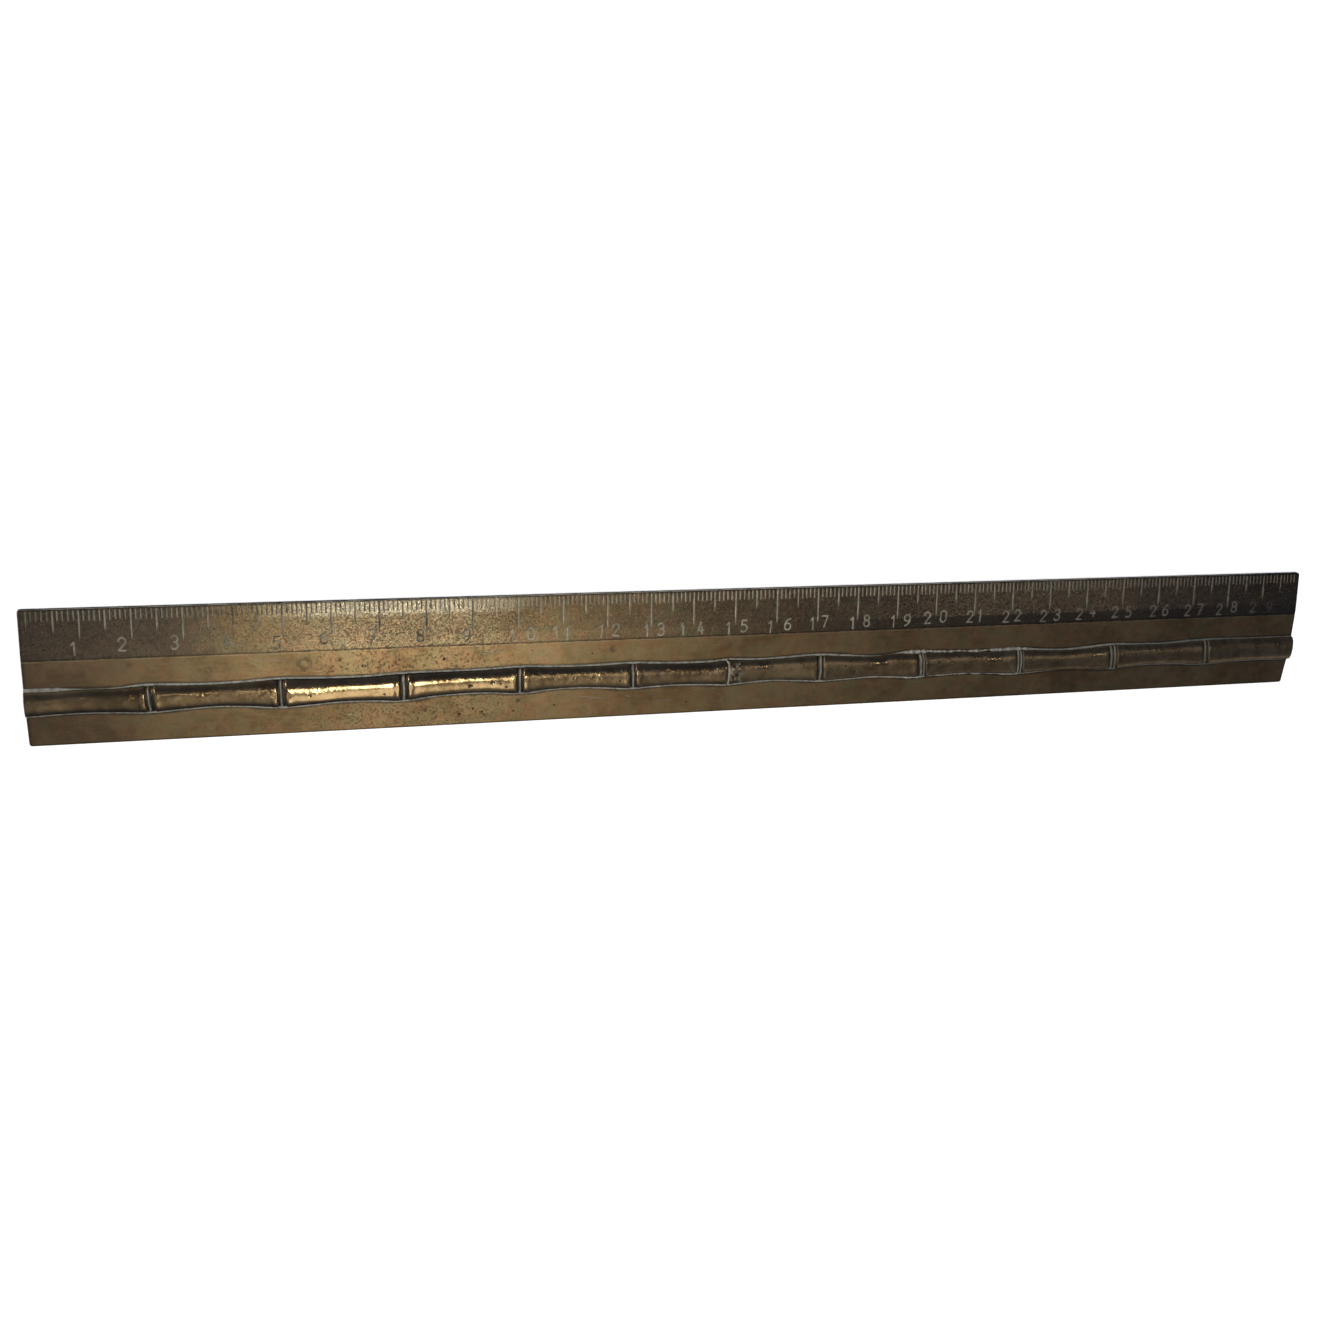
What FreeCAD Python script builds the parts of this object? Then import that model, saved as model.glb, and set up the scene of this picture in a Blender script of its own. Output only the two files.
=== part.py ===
"""Brass desk ruler, thirty centimetres long, with a bamboo-shaped rib soldered along its face.

The plate is one bevelled brass bar with a recessed scale band, cut marks and punched numerals.
Two cast bamboo lengths lie end to end on it, each bedded in its own solder joint, and a third
bead of solder fills the butt between them.  Nothing moves.

Frame: origin at the bottom centre, +X along the ruler towards the high numbers, +Y towards the
edge that carries the scale, +Z up.  Millimetres.
"""
import FreeCAD, Part
import Sketcher
import math
import os
import random

Vector = FreeCAD.Vector

DIMENSIONS = {
    # Plate
    "PlateLength": 302.0,
    "PlateWidth": 29.2,
    "EdgeThickness": 1.0,       # at both long edges
    "CrownRise": 0.9,           # extra thickness of the flat middle
    "BevelWidth": 8.0,          # sloping strip along each long edge
    "CornerRadius": 0.55,       # in plan
    "EdgeRounding": 0.2,        # along the long top edges
    "BandWidth": 10.6,          # stamped scale band, measured from the scale edge
    "BandRecess": 0.05,
    # Scale marks
    "ZeroOffset": 1.5,          # from the left end to the zero mark
    "MarkStart": 0.35,          # all lengths below are distances from the scale edge
    "UnitMarkEnd": 2.45,
    "HalfMarkEnd": 4.95,
    "MarkWidth": 0.36,
    "LongMarkWidth": 0.46,      # every fifth and tenth
    "MarkDepth": 0.14,
    "MarkPoint": 1.6,           # length over which a long mark runs out to a point
    # Numerals
    "NumeralHeight": 3.05,
    "NumeralWidth": 1.75,
    "StrokeWidth": 0.36,
    "NumeralDepth": 0.12,
    # Bamboo rib
    "RibNodeWidth": 6.4,
    "RibWaistWidth": 5.35,
    "RibHeight": 1.3,           # above the solder bed, at a node
    "RibWaistHeight": 1.15,
    "RibEndWidth": 5.9,         # where the rod is sawn flush with the plate
    "RibWallHeight": 0.3,       # upright foot of the section, below its crown
    "NodeLength": 1.3,          # groove, ring and groove together
    "RingLength": 0.45,
    "RingDrop": 0.1,            # ring below the swelling beside it
    "GrooveDepth": 0.3,
    # Solder
    "BedThickness": 0.08,
    "FilletLeg": 0.42,
    "FilletCrown": 0.62,
    "ButtGap": 0.35,
    "ButtPosition": 150.2,      # from the left end
    "ButtLap": 0.9,             # reach of its solder to either side
    "LeftButtRadius": 0.5,      # worn rim of the left rod where the two meet
    "RightButtRadius": 0.2,
}

# The marks of the tens were cut by eye: how far each reaches from the scale edge, from zero on.
TEN_MARK_ENDS = (
    3.8, 6.4, 6.9, 7.2, 7.2, 7.4, 8.0, 7.4, 7.6, 8.0,
    7.6, 6.9, 8.2, 8.3, 8.2, 8.2, 8.4, 8.5, 8.5, 8.4,
    8.2, 7.9, 7.6, 7.6, 7.4, 7.4, 7.8, 7.6, 8.4, 6.8,
)

# Distances from the left end to the middle of each cast node.
LEFT_NODES = (24.1, 50.7, 76.4, 101.9, 127.6)
RIGHT_NODES = (172.8, 198.4, 224.6, 250.3, 276.9)

# The rod was laid by eye: how far its middle lies from the scale edge, at the left end, at each
# node, at the butt and at the right end.
RIB_LINE = (19.5, 19.5, 19.55, 19.4, 19.05, 19.2, 19.3, 19.35, 19.6, 19.9, 19.85, 19.65, 19.5)

# Hand-punched numerals.  For each digit of each number: how far its middle lies past its mark
# along the ruler, and how far its top lies from the scale edge.
PUNCHES = {
    1: ((-1.3, 6.7),),
    2: ((-2.0, 6.1),),
    3: ((-1.8, 6.1),),
    4: ((-1.4, 6.2),),
    5: ((-1.4, 6.9),),
    6: ((-1.7, 6.2),),
    7: ((-1.6, 6.2),),
    8: ((-1.4, 6.5),),
    9: ((-1.3, 6.8),),
    10: ((-1.4, 7.3), (2.7, 7.0)),
    11: ((-1.7, 6.9), (0.8, 7.3)),
    12: ((-1.4, 7.0), (1.9, 6.8)),
    13: ((-0.9, 7.3), (2.4, 7.1)),
    14: ((-2.5, 7.2), (1.7, 7.1)),
    15: ((-1.6, 7.4), (2.1, 7.0)),
    16: ((-1.5, 7.4), (2.7, 6.9)),
    17: ((-1.2, 7.0), (1.8, 6.6)),
    18: ((-1.2, 7.2), (2.3, 6.8)),
    19: ((-0.9, 7.2), (2.6, 7.0)),
    20: ((-2.2, 6.6), (1.9, 6.4)),
    21: ((-1.1, 6.7), (1.5, 6.6)),
    22: ((-1.6, 7.0), (1.5, 6.8)),
    23: ((-1.5, 7.2), (2.2, 7.0)),
    24: ((-1.7, 7.0), (1.9, 6.4)),
    25: ((-1.9, 6.8), (1.9, 6.9)),
    26: ((-1.2, 6.9), (2.3, 6.8)),
    27: ((-1.3, 7.1), (2.2, 7.0)),
    28: ((-2.2, 7.1), (2.0, 6.6)),
    29: ((-2.4, 6.8), (2.4, 6.9)),
}


def line(start, end):
    """One straight stretch of a numeral's stroke, in fractions of its cell."""
    return ("line", start, end)


def arc(start, middle, end):
    """One round stretch of a numeral's stroke, through three points of its cell."""
    return ("arc", start, middle, end)


# Each numeral is a list of strokes, and each stroke a chain of stretches.  The cell runs from
# -0.5 to 0.5 both ways, with +y towards the top of the numeral.
NUMERALS = {
    "0": ((arc((-0.5, 0.2), (0.0, 0.5), (0.5, 0.2)), line((0.5, 0.2), (0.5, -0.2))),
          (arc((0.5, -0.2), (0.0, -0.5), (-0.5, -0.2)), line((-0.5, -0.2), (-0.5, 0.2)))),
    "1": ((line((-0.32, 0.3), (0.05, 0.5)), line((0.05, 0.5), (0.05, -0.5))),),
    "2": ((arc((-0.5, 0.24), (0.0, 0.5), (0.42, 0.1)), line((0.42, 0.1), (-0.5, -0.5)),
           line((-0.5, -0.5), (0.5, -0.5))),),
    "3": ((arc((-0.46, 0.38), (0.45, 0.26), (-0.12, 0.04)),),
          (arc((-0.12, 0.04), (0.5, -0.22), (-0.5, -0.38)),)),
    "4": ((line((0.1, 0.5), (-0.5, -0.2)), line((-0.5, -0.2), (0.5, -0.2))),
          (line((0.22, 0.08), (0.22, -0.5)),)),
    "5": ((line((0.42, 0.5), (-0.36, 0.5)), line((-0.36, 0.5), (-0.44, 0.08)),
           arc((-0.44, 0.08), (0.5, -0.18), (-0.5, -0.42))),),
    "6": ((arc((0.38, 0.48), (-0.34, 0.2), (-0.5, -0.2)), arc((-0.5, -0.2), (0.0, -0.5), (0.5, -0.2))),
          (arc((0.5, -0.2), (0.0, 0.08), (-0.5, -0.2)),)),
    "7": ((line((-0.5, 0.5), (0.5, 0.5)), line((0.5, 0.5), (-0.16, -0.5))),),
    "8": ((arc((-0.42, 0.27), (0.0, 0.5), (0.42, 0.27)),),
          (arc((0.42, 0.27), (0.0, 0.03), (-0.42, 0.27)),),
          (arc((-0.5, -0.23), (0.0, 0.03), (0.5, -0.23)),),
          (arc((0.5, -0.23), (0.0, -0.5), (-0.5, -0.23)),)),
    "9": ((arc((-0.5, 0.2), (0.0, -0.08), (0.5, 0.2)),),
          (arc((-0.5, 0.2), (0.0, 0.5), (0.5, 0.2)), arc((0.5, 0.2), (0.34, -0.2), (-0.38, -0.48)))),
}

# Hand work wanders: the spread of each mark's place and length, and of each numeral's lean.
MARK_SCATTER = 0.06
LENGTH_SCATTER = 0.12
LEAN_SCATTER = 4.0              # degrees
RUN_OUT = 0.3                   # share of a long mark's width and depth left at its point
MARKING = random.Random(30)
PUNCHING = random.Random(30)

CLEARANCE = 0.5                 # how far a cutting tool starts above the metal
LOFT_STEPS = 6                  # spans of a loft along one internode
ROUNDING_STEPS = 4              # spans of a loft round a rod's rim
SAME_PLACE = 1e-6               # two distances closer than this are equal


doc = FreeCAD.newDocument("BambooRuler")
size = doc.addObject("Spreadsheet::Sheet", "Dimensions")


def fill_sheet():
    """Write the driving dimensions, one aliased cell each."""
    for row, (name, value) in enumerate(DIMENSIONS.items(), start=1):
        size.set("A%d" % row, name)
        size.set("B%d" % row, str(value))
        size.setAlias("B%d" % row, name)
    doc.recompute()


def origin_plane(body, role):
    """One of a body's own origin planes, found by its role."""
    return next(item for item in body.Origin.OriginFeatures if item.Role == role)


def section_polygon(body, name, role, corners):
    """A closed sketch whose corners are pinned to pairs of expressions on the dimensions.

    A corner on one of the sketch's axes gives "0" for that distance.
    """
    sketch = body.newObject("Sketcher::SketchObject", name)
    sketch.AttachmentSupport = [(origin_plane(body, role), "")]
    sketch.MapMode = "FlatFace"
    points = [Vector(sketch.evalExpression(across), sketch.evalExpression(up), 0) for across, up in corners]
    count = len(points)
    for index in range(count):
        sketch.addGeometry(Part.LineSegment(points[index], points[(index + 1) % count]), False)
    for index in range(count):
        sketch.addConstraint(Sketcher.Constraint("Coincident", index, 2, (index + 1) % count, 1))
    for index, (across, up) in enumerate(corners):
        pin_corner(sketch, "DistanceX", -2, index, across, points[index].x)
        pin_corner(sketch, "DistanceY", -1, index, up, points[index].y)
    return sketch


def pin_corner(sketch, kind, axis, index, expression, value):
    """Hold the start of one line of a sketch on an axis, or at an expression's distance."""
    if expression == "0":
        sketch.addConstraint(Sketcher.Constraint("PointOnObject", index, 1, axis))
        return
    number = sketch.addConstraint(Sketcher.Constraint(kind, -1, 1, index, 1, value))
    sketch.setExpression("Constraints[%d]" % number, expression)


def matching_edges(shape, wanted):
    """The names of a shape's edges that a test accepts."""
    return ["Edge%d" % number for number, edge in enumerate(shape.Edges, start=1) if wanted(edge)]


def is_upright(edge):
    """True for an edge that runs along Z."""
    box = edge.BoundBox
    return box.ZLength > SAME_PLACE and max(box.XLength, box.YLength) < SAME_PLACE


def add_fillet(body, name, base, edges, radius):
    """Round some edges of a body's feature by a radius taken from the dimensions."""
    fillet = body.newObject("PartDesign::Fillet", name)
    fillet.Base = (base, edges)
    fillet.setExpression("Radius", "Dimensions." + radius)
    doc.recompute()
    return fillet


def plate_section(lowered="0"):
    """The corners of the plate's section, seen along +X, with its top lowered by an expression."""
    edge = "Dimensions.PlateWidth / 2"
    top = "Dimensions.EdgeThickness - " + lowered
    crown = "Dimensions.EdgeThickness + Dimensions.CrownRise - " + lowered
    band = crown + " - Dimensions.BandRecess"
    return (
        ("-" + edge, "0"),
        (edge, "0"),
        (edge, top),
        (edge + " - Dimensions.BevelWidth", band),
        (edge + " - Dimensions.BandWidth", band),
        (edge + " - Dimensions.BandWidth", crown),
        ("Dimensions.BevelWidth - " + edge, crown),
        ("-" + edge, top),
    )


def make_bar(name, lowered):
    """A body of the plate's section, as long as the plate and centred on the origin."""
    body = doc.addObject("PartDesign::Body", name)
    sketch = section_polygon(body, name + "Section", "YZ_Plane", plate_section(lowered))
    pad = body.newObject("PartDesign::Pad", name + "Pad")
    pad.Profile = sketch
    pad.SideType = "Symmetric"
    pad.Length = size.PlateLength
    pad.setExpression("Length", "Dimensions.PlateLength")
    doc.recompute()
    return body, pad


def make_blank():
    """The plate before its scale is cut: corners rounded in plan, long top edges softened."""
    body, pad = make_bar("PlateBlank", "0")
    corners = add_fillet(body, "PlanCorners", pad, matching_edges(pad.Shape, is_upright),
                         "CornerRadius")
    rim = size.EdgeThickness

    def is_long_top_edge(edge):
        box = edge.BoundBox
        is_long = box.XLength > size.PlateLength / 2
        return is_long and box.ZLength < SAME_PLACE and abs(box.ZMin - rim) < SAME_PLACE

    add_fillet(body, "SoftEdges", corners, matching_edges(corners.Shape, is_long_top_edge),
               "EdgeRounding")
    return body


def add_shape(name, shape):
    """A feature that holds a shape built with Part's own functions."""
    feature = doc.addObject("Part::Feature", name)
    feature.Shape = shape
    feature.Label = name
    feature.Placement = FreeCAD.Placement()
    return feature


def add_cut(name, base, tools):
    """A feature's shape less those of some others, one cut after another."""
    for number, tool in enumerate(tools, start=1):
        cut = doc.addObject("Part::Cut", "%sCut%d" % (name, number))
        cut.Base = base
        cut.Tool = tool
        base = cut
    base.Label = name
    doc.recompute()
    return base


def along(distance):
    """X of a point, from its distance to the left end."""
    return distance - size.PlateLength / 2


def across(distance):
    """Y of a point, from its distance to the scale edge."""
    return size.PlateWidth / 2 - distance


def crown_height():
    """Height of the plate's flat middle."""
    return size.EdgeThickness + size.CrownRise


def band_slope():
    """Rise of the scale band's bevel for each millimetre away from the edge."""
    return (size.CrownRise - size.BandRecess) / size.BevelWidth


def mark_section(place, reach, width, depth):
    """The V-shaped section of a mark's cutter at one distance from the scale edge."""
    surface = size.EdgeThickness + reach * band_slope()
    mouth = width / 2 * (depth + CLEARANCE) / depth
    return Part.makePolygon([
        Vector(place - mouth, across(reach), surface + CLEARANCE),
        Vector(place + mouth, across(reach), surface + CLEARANCE),
        Vector(place, across(reach), surface - depth),
        Vector(place - mouth, across(reach), surface + CLEARANCE),
    ])


def scale_mark(place, end, is_long):
    """The cutter of one mark, parallel to the bevel it is cut in.

    A long mark is wider, and runs out to a shallow point.
    """
    start = size.MarkStart
    depth = size.MarkDepth
    if not is_long:
        sections = [(start, size.MarkWidth, depth), (end, size.MarkWidth, depth)]
    else:
        width = size.LongMarkWidth
        sections = [(start, width, depth), (end - size.MarkPoint, width, depth),
                    (end, width * RUN_OUT, depth * RUN_OUT)]
    wires = [mark_section(place, reach, width, depth) for reach, width, depth in sections]
    return Part.makeLoft(wires, True, True)


def scale_marks():
    """Cutters of every millimetre mark, longer at each fifth and longest at each tenth."""
    marks = []
    for unit in range(10 * len(TEN_MARK_ENDS)):
        if unit % 10 == 0:
            end = TEN_MARK_ENDS[unit // 10]
        elif unit % 5 == 0:
            end = size.HalfMarkEnd
        else:
            end = size.UnitMarkEnd
        place = along(size.ZeroOffset + unit) + MARKING.uniform(-MARK_SCATTER, MARK_SCATTER)
        end += MARKING.uniform(-LENGTH_SCATTER, LENGTH_SCATTER)
        marks.append(scale_mark(place, end, unit % 5 == 0))
    return Part.makeCompound(marks)


def stretch_edge(stretch):
    """The edge of one stretch of a stroke, at full size, about its numeral's middle."""
    wide = size.NumeralWidth - size.StrokeWidth
    tall = size.NumeralHeight - size.StrokeWidth
    points = [Vector(x * wide, y * tall, 0) for x, y in stretch[1:]]
    if stretch[0] == "line":
        return Part.makeLine(*points)
    return Part.Arc(*points).toShape()


def slot_face(edges):
    """A round-ended slot, as wide as a stroke, along a chain of edges."""
    reach = size.StrokeWidth / 2
    if len(edges) > 1 or not isinstance(edges[0].Curve, Part.Line):
        return Part.Face(Part.Wire(edges).makeOffset2D(reach))
    start, end = (vertex.Point for vertex in edges[0].Vertexes)
    way = (end - start).normalize() * reach
    side = Vector(-way.y, way.x, 0)
    return Part.Face(Part.Wire([
        Part.makeLine(start + side, end + side),
        Part.Arc(end + side, end + way, end - side).toShape(),
        Part.makeLine(end - side, start - side),
        Part.Arc(start - side, start - way, start + side).toShape(),
    ]))


def numeral_cutter(digit, place, top):
    """An upright punch of one numeral, whose strokes are round-ended slots."""
    strokes = []
    for stroke in NUMERALS[digit]:
        edges = [stretch_edge(stretch) for stretch in stroke]
        strokes.append(slot_face(edges).extrude(Vector(0, 0, crown_height() + CLEARANCE)))
    punch = strokes[0]
    if len(strokes) > 1:
        punch = strokes[0].fuse(strokes[1:])
    punch.rotate(Vector(0, 0, 0), Vector(0, 0, 1), PUNCHING.uniform(-LEAN_SCATTER, LEAN_SCATTER))
    punch.translate(Vector(place, across(top + size.NumeralHeight / 2), 0))
    return punch


def numeral_punches():
    """Upright punches of every number from 1 to 29."""
    punches = []
    for number, places in PUNCHES.items():
        mark = along(size.ZeroOffset + 10 * number)
        for digit, (offset, top) in zip(str(number), places):
            punches.append(numeral_cutter(digit, mark + offset, top))
    return Part.makeCompound(punches)


def make_plate(blank):
    """The finished plate: its blank, less the scale marks and the numerals.

    The numerals are cut to one depth below the bevel and the flat alike, so their punches stop
    on a bar of the plate's own section, lowered by that depth.
    """
    floor, _pad = make_bar("NumeralFloor", "Dimensions.NumeralDepth")
    marks = add_shape("ScaleMarks", scale_marks())
    punches = add_shape("NumeralPunches", numeral_punches())
    numerals = add_cut("Numerals", punches, [floor])
    return add_cut("ruler_plate", blank, [marks, numerals])


def rib_section(place, middle, width, height, wall, foot):
    """A low D-shaped wire across the rod: flat foot, short upright walls and a half-oval crown."""
    half = width / 2
    y = across(middle)
    shoulder = foot + wall
    right = Vector(place, y + half, foot)
    right_shoulder = Vector(place, y + half, shoulder)
    left_shoulder = Vector(place, y - half, shoulder)
    left = Vector(place, y - half, foot)
    crown = height - wall
    if half >= crown:
        oval = Part.Ellipse(right_shoulder, Vector(place, y, shoulder + crown), Vector(place, y, shoulder))
    else:
        oval = Part.Ellipse(Vector(place, y, shoulder + crown), left_shoulder, Vector(place, y, shoulder))
    start = oval.parameter(right_shoulder)
    over = Part.ArcOfEllipse(oval, start, start + math.pi).toShape()
    return Part.Wire([
        Part.makeLine(left, right),
        Part.makeLine(right, right_shoulder),
        over,
        Part.makeLine(left_shoulder, left),
    ])


class Rod:
    """One bamboo length: where it starts and stops, its nodes, and the line its middle follows."""

    def __init__(self, name, start, stop, nodes, middles, end_widths, end_radii):
        self.name = name
        self.anchors = (start,) + nodes + (stop,)
        self.middles = middles
        self.widths = (end_widths[0],) + (size.RibNodeWidth,) * len(nodes) + (end_widths[1],)
        half_node = size.NodeLength / 2
        self.trims = (end_radii[0],) + (half_node,) * len(nodes) + (end_radii[1],)

    def shape_at(self, stretch, share):
        """Place, middle, width and height at a share of the way along one stretch.

        The rod swells at both ends of a stretch and narrows halfway.
        """
        place = blend(self.anchors[stretch], self.anchors[stretch + 1], share)
        middle = blend(self.middles[stretch], self.middles[stretch + 1], share)
        swelling = (1 + math.cos(2 * math.pi * share)) / 2
        full_width = blend(self.widths[stretch], self.widths[stretch + 1], share)
        width = blend(size.RibWaistWidth, full_width, swelling)
        height = blend(size.RibWaistHeight, size.RibHeight, swelling)
        return place, middle, width, height

    def section_near(self, anchor, offset, drop):
        """The rod's section a little to one side of an anchor, shrunk all round by a drop."""
        stretch = anchor - 1 if offset < 0 else anchor
        length = self.anchors[stretch + 1] - self.anchors[stretch]
        share = 1 + offset / length if offset < 0 else offset / length
        place, middle, width, height = self.shape_at(stretch, share)
        return rib_section(along(place), middle, width - 2 * drop, height - drop,
                           size.RibWallHeight, crown_height() + size.BedThickness)

    def stretches(self):
        """The numbers of the rod's stretches, from each anchor to the next."""
        return range(len(self.anchors) - 1)


def blend(start, end, share):
    """The value a share of the way from start to end."""
    return start + (end - start) * share


def internode(rod, stretch):
    """The smooth cane between two nodes, or between a node and an end."""
    length = rod.anchors[stretch + 1] - rod.anchors[stretch]
    first = rod.trims[stretch] / length
    last = 1 - rod.trims[stretch + 1] / length
    foot = crown_height() + size.BedThickness
    wires = []
    for step in range(LOFT_STEPS + 1):
        place, middle, width, height = rod.shape_at(stretch, blend(first, last, step / LOFT_STEPS))
        wires.append(rib_section(along(place), middle, width, height, size.RibWallHeight, foot))
    return Part.makeLoft(wires, True, False)


def node(rod, anchor):
    """A cast node: a groove, a ring and a groove, on the swelling between two internodes."""
    half = size.NodeLength / 2
    ring = size.RingLength / 2
    lip = (half - ring) / 3
    profile = (
        (-half, 0.0), (lip - half, size.GrooveDepth), (-ring - lip, size.GrooveDepth),
        (-ring, size.RingDrop), (ring, size.RingDrop),
        (ring + lip, size.GrooveDepth), (half - lip, size.GrooveDepth), (half, 0.0),
    )
    return Part.makeLoft([rod.section_near(anchor, offset, drop) for offset, drop in profile], True, True)


def rounded_end(rod, anchor):
    """The short end of a rod whose rim is rounded off, where it butts against the other rod."""
    radius = rod.trims[anchor]
    inward = -1 if anchor else 1
    wires = []
    for step in range(ROUNDING_STEPS + 1):
        turn = math.pi / 2 * step / ROUNDING_STEPS
        offset = inward * max(radius * (1 - math.sin(turn)), SAME_PLACE)
        wires.append(rod.section_near(anchor, offset, radius * (1 - math.cos(turn))))
    return Part.makeLoft(wires, True, True)


def rib_shape(rod):
    """The whole rod: its internodes, nodes and rounded end as one casting."""
    pieces = [internode(rod, stretch) for stretch in rod.stretches()]
    last = len(rod.anchors) - 1
    pieces += [node(rod, anchor) for anchor in range(1, last)]
    pieces += [rounded_end(rod, anchor) for anchor in (0, last) if rod.trims[anchor]]
    return single_solid(pieces[0].fuse(pieces[1:]))


def solder_bead(rod):
    """The solder under one rod and up its two sides, before the plate and the rod shape it."""
    depth = size.CrownRise / 2
    foot = crown_height() - depth
    pieces = []
    for stretch in rod.stretches():
        wires = []
        for step in range(LOFT_STEPS + 1):
            place, middle, width, _height = rod.shape_at(stretch, step / LOFT_STEPS)
            wires.append(rib_section(along(place), middle, width + 2 * size.FilletLeg,
                                     depth + size.FilletCrown, depth, foot))
        pieces.append(Part.makeLoft(wires, True, False))
    return single_solid(pieces[0].fuse(pieces[1:]))


def butt_bead():
    """A slug of solder across the gap between the two rods and their rounded ends."""
    foot = crown_height()
    start = along(size.ButtPosition - size.ButtLap)
    stop = along(size.ButtPosition + size.ButtLap)
    middle = RIB_LINE[len(LEFT_NODES) + 1]
    section = rib_section(start, middle, size.RibEndWidth, size.RibHeight, size.RibWallHeight, foot)
    return Part.Face(section).extrude(Vector(stop - start, 0, 0))


def single_solid(shape):
    """The one solid that a boolean was meant to leave."""
    if len(shape.Solids) != 1:
        raise RuntimeError("expected one solid, found %d" % len(shape.Solids))
    return shape.Solids[0]


def make_rods():
    """The two bamboo lengths, from the left end to the butt and from the butt to the right end."""
    half_gap = size.ButtGap / 2
    butt = len(LEFT_NODES) + 1
    left = Rod("bamboo_rib_left", 0.0, size.ButtPosition - half_gap, LEFT_NODES,
               RIB_LINE[:butt + 1], (size.RibEndWidth, size.RibEndWidth), (0.0, size.LeftButtRadius))
    right = Rod("bamboo_rib_right", size.ButtPosition + half_gap, size.PlateLength, RIGHT_NODES,
                RIB_LINE[butt:], (size.RibNodeWidth, size.RibEndWidth), (size.RightButtRadius, 0.0))
    return left, right


def check_document():
    """Stop if any object of the document failed or holds a bad shape."""
    for item in doc.Objects:
        for word in ("Invalid", "Error"):
            if word in item.State:
                raise RuntimeError("%s is %s" % (item.Name, word))


def export(feature):
    """Write one sub-part's solid, after checking it."""
    shape = feature.Shape
    if shape.isNull() or not shape.isValid() or len(shape.Solids) != 1:
        raise RuntimeError("%s has no single valid solid" % feature.Label)
    shape.Solids[0].exportStep("parts/%s.step" % feature.Label)
    print("%-20s %9.2f mm3, %4d faces" % (feature.Label, shape.Volume, len(shape.Faces)))


def build():
    """Make every sub-part, check the document and write the files."""
    fill_sheet()
    blank = make_blank()
    plate = make_plate(blank)
    left, right = make_rods()
    left_rib = add_shape(left.name, rib_shape(left))
    right_rib = add_shape(right.name, rib_shape(right))
    left_bead = add_shape("LeftBead", solder_bead(left))
    right_bead = add_shape("RightBead", solder_bead(right))
    left_joint = add_cut("solder_joint_left", left_bead, [blank, left_rib])
    right_joint = add_cut("solder_joint_right", right_bead, [blank, right_rib])
    slug = add_shape("ButtSlug", butt_bead())
    butt_joint = add_cut("solder_butt_joint", slug, [blank, left_rib, right_rib, left_joint, right_joint])
    check_document()
    os.makedirs("parts", exist_ok=True)
    for feature in (plate, left_rib, right_rib, left_joint, right_joint, butt_joint):
        export(feature)


build()
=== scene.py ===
"""Looks of a brass desk ruler with a bamboo-shaped rib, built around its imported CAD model.

The plate is the CAD node itself, with a worn-brass material.  The two cast rods, their solder
and the solder between them are rebuilt here as uneven, hand-finished meshes in the same places.
Lengths in the mesh code are in millimetres: x is measured along the ruler from its left end,
and "reach" across it from the edge that carries the scale.
"""

import math

import bpy
import numpy as np
from mathutils import Matrix, Vector


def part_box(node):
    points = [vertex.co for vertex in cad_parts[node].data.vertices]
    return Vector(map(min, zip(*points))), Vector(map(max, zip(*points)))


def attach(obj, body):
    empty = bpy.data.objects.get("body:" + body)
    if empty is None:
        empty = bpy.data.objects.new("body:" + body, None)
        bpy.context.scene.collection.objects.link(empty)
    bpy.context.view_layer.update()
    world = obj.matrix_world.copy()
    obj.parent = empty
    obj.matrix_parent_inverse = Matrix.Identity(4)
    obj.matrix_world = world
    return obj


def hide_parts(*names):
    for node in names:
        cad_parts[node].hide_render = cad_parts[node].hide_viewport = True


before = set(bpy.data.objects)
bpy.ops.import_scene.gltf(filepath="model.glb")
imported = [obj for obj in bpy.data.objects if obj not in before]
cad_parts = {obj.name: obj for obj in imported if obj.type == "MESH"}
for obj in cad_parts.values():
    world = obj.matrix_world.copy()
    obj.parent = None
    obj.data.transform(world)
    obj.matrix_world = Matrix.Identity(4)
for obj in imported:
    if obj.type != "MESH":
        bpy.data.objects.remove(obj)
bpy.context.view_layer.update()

MM = 0.001
PLATE_LOW, PLATE_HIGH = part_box("ruler_plate")
LENGTH = (PLATE_HIGH.x - PLATE_LOW.x) / MM
WIDTH = (PLATE_HIGH.y - PLATE_LOW.y) / MM
CROWN = PLATE_HIGH.z / MM
EDGE = 1.0                      # thickness at the long edges
BEVEL = 8.0                     # width of the sloping strips
BAND = 10.6                     # width of the recessed scale band
BAND_RECESS = 0.05
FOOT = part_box("bamboo_rib_left")[0].z / MM
RIB_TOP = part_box("bamboo_rib_left")[1].z / MM


# ---------------------------------------------------------------- numbers along the ruler

def curve(points):
    """A smooth function of x through (x, value) points."""
    xs = np.array([p[0] for p in points], float)
    ys = np.array([p[1] for p in points], float)
    slopes = np.gradient(ys, xs)

    def value(x):
        x = np.clip(x, xs[0], xs[-1])
        i = np.clip(np.searchsorted(xs, x, side="right") - 1, 0, len(xs) - 2)
        span = xs[i + 1] - xs[i]
        t = (x - xs[i]) / span
        return ((2 * t ** 3 - 3 * t ** 2 + 1) * ys[i] + (t ** 3 - 2 * t ** 2 + t) * span * slopes[i]
                + (3 * t ** 2 - 2 * t ** 3) * ys[i + 1] + (t ** 3 - t ** 2) * span * slopes[i + 1])

    return value


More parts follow.
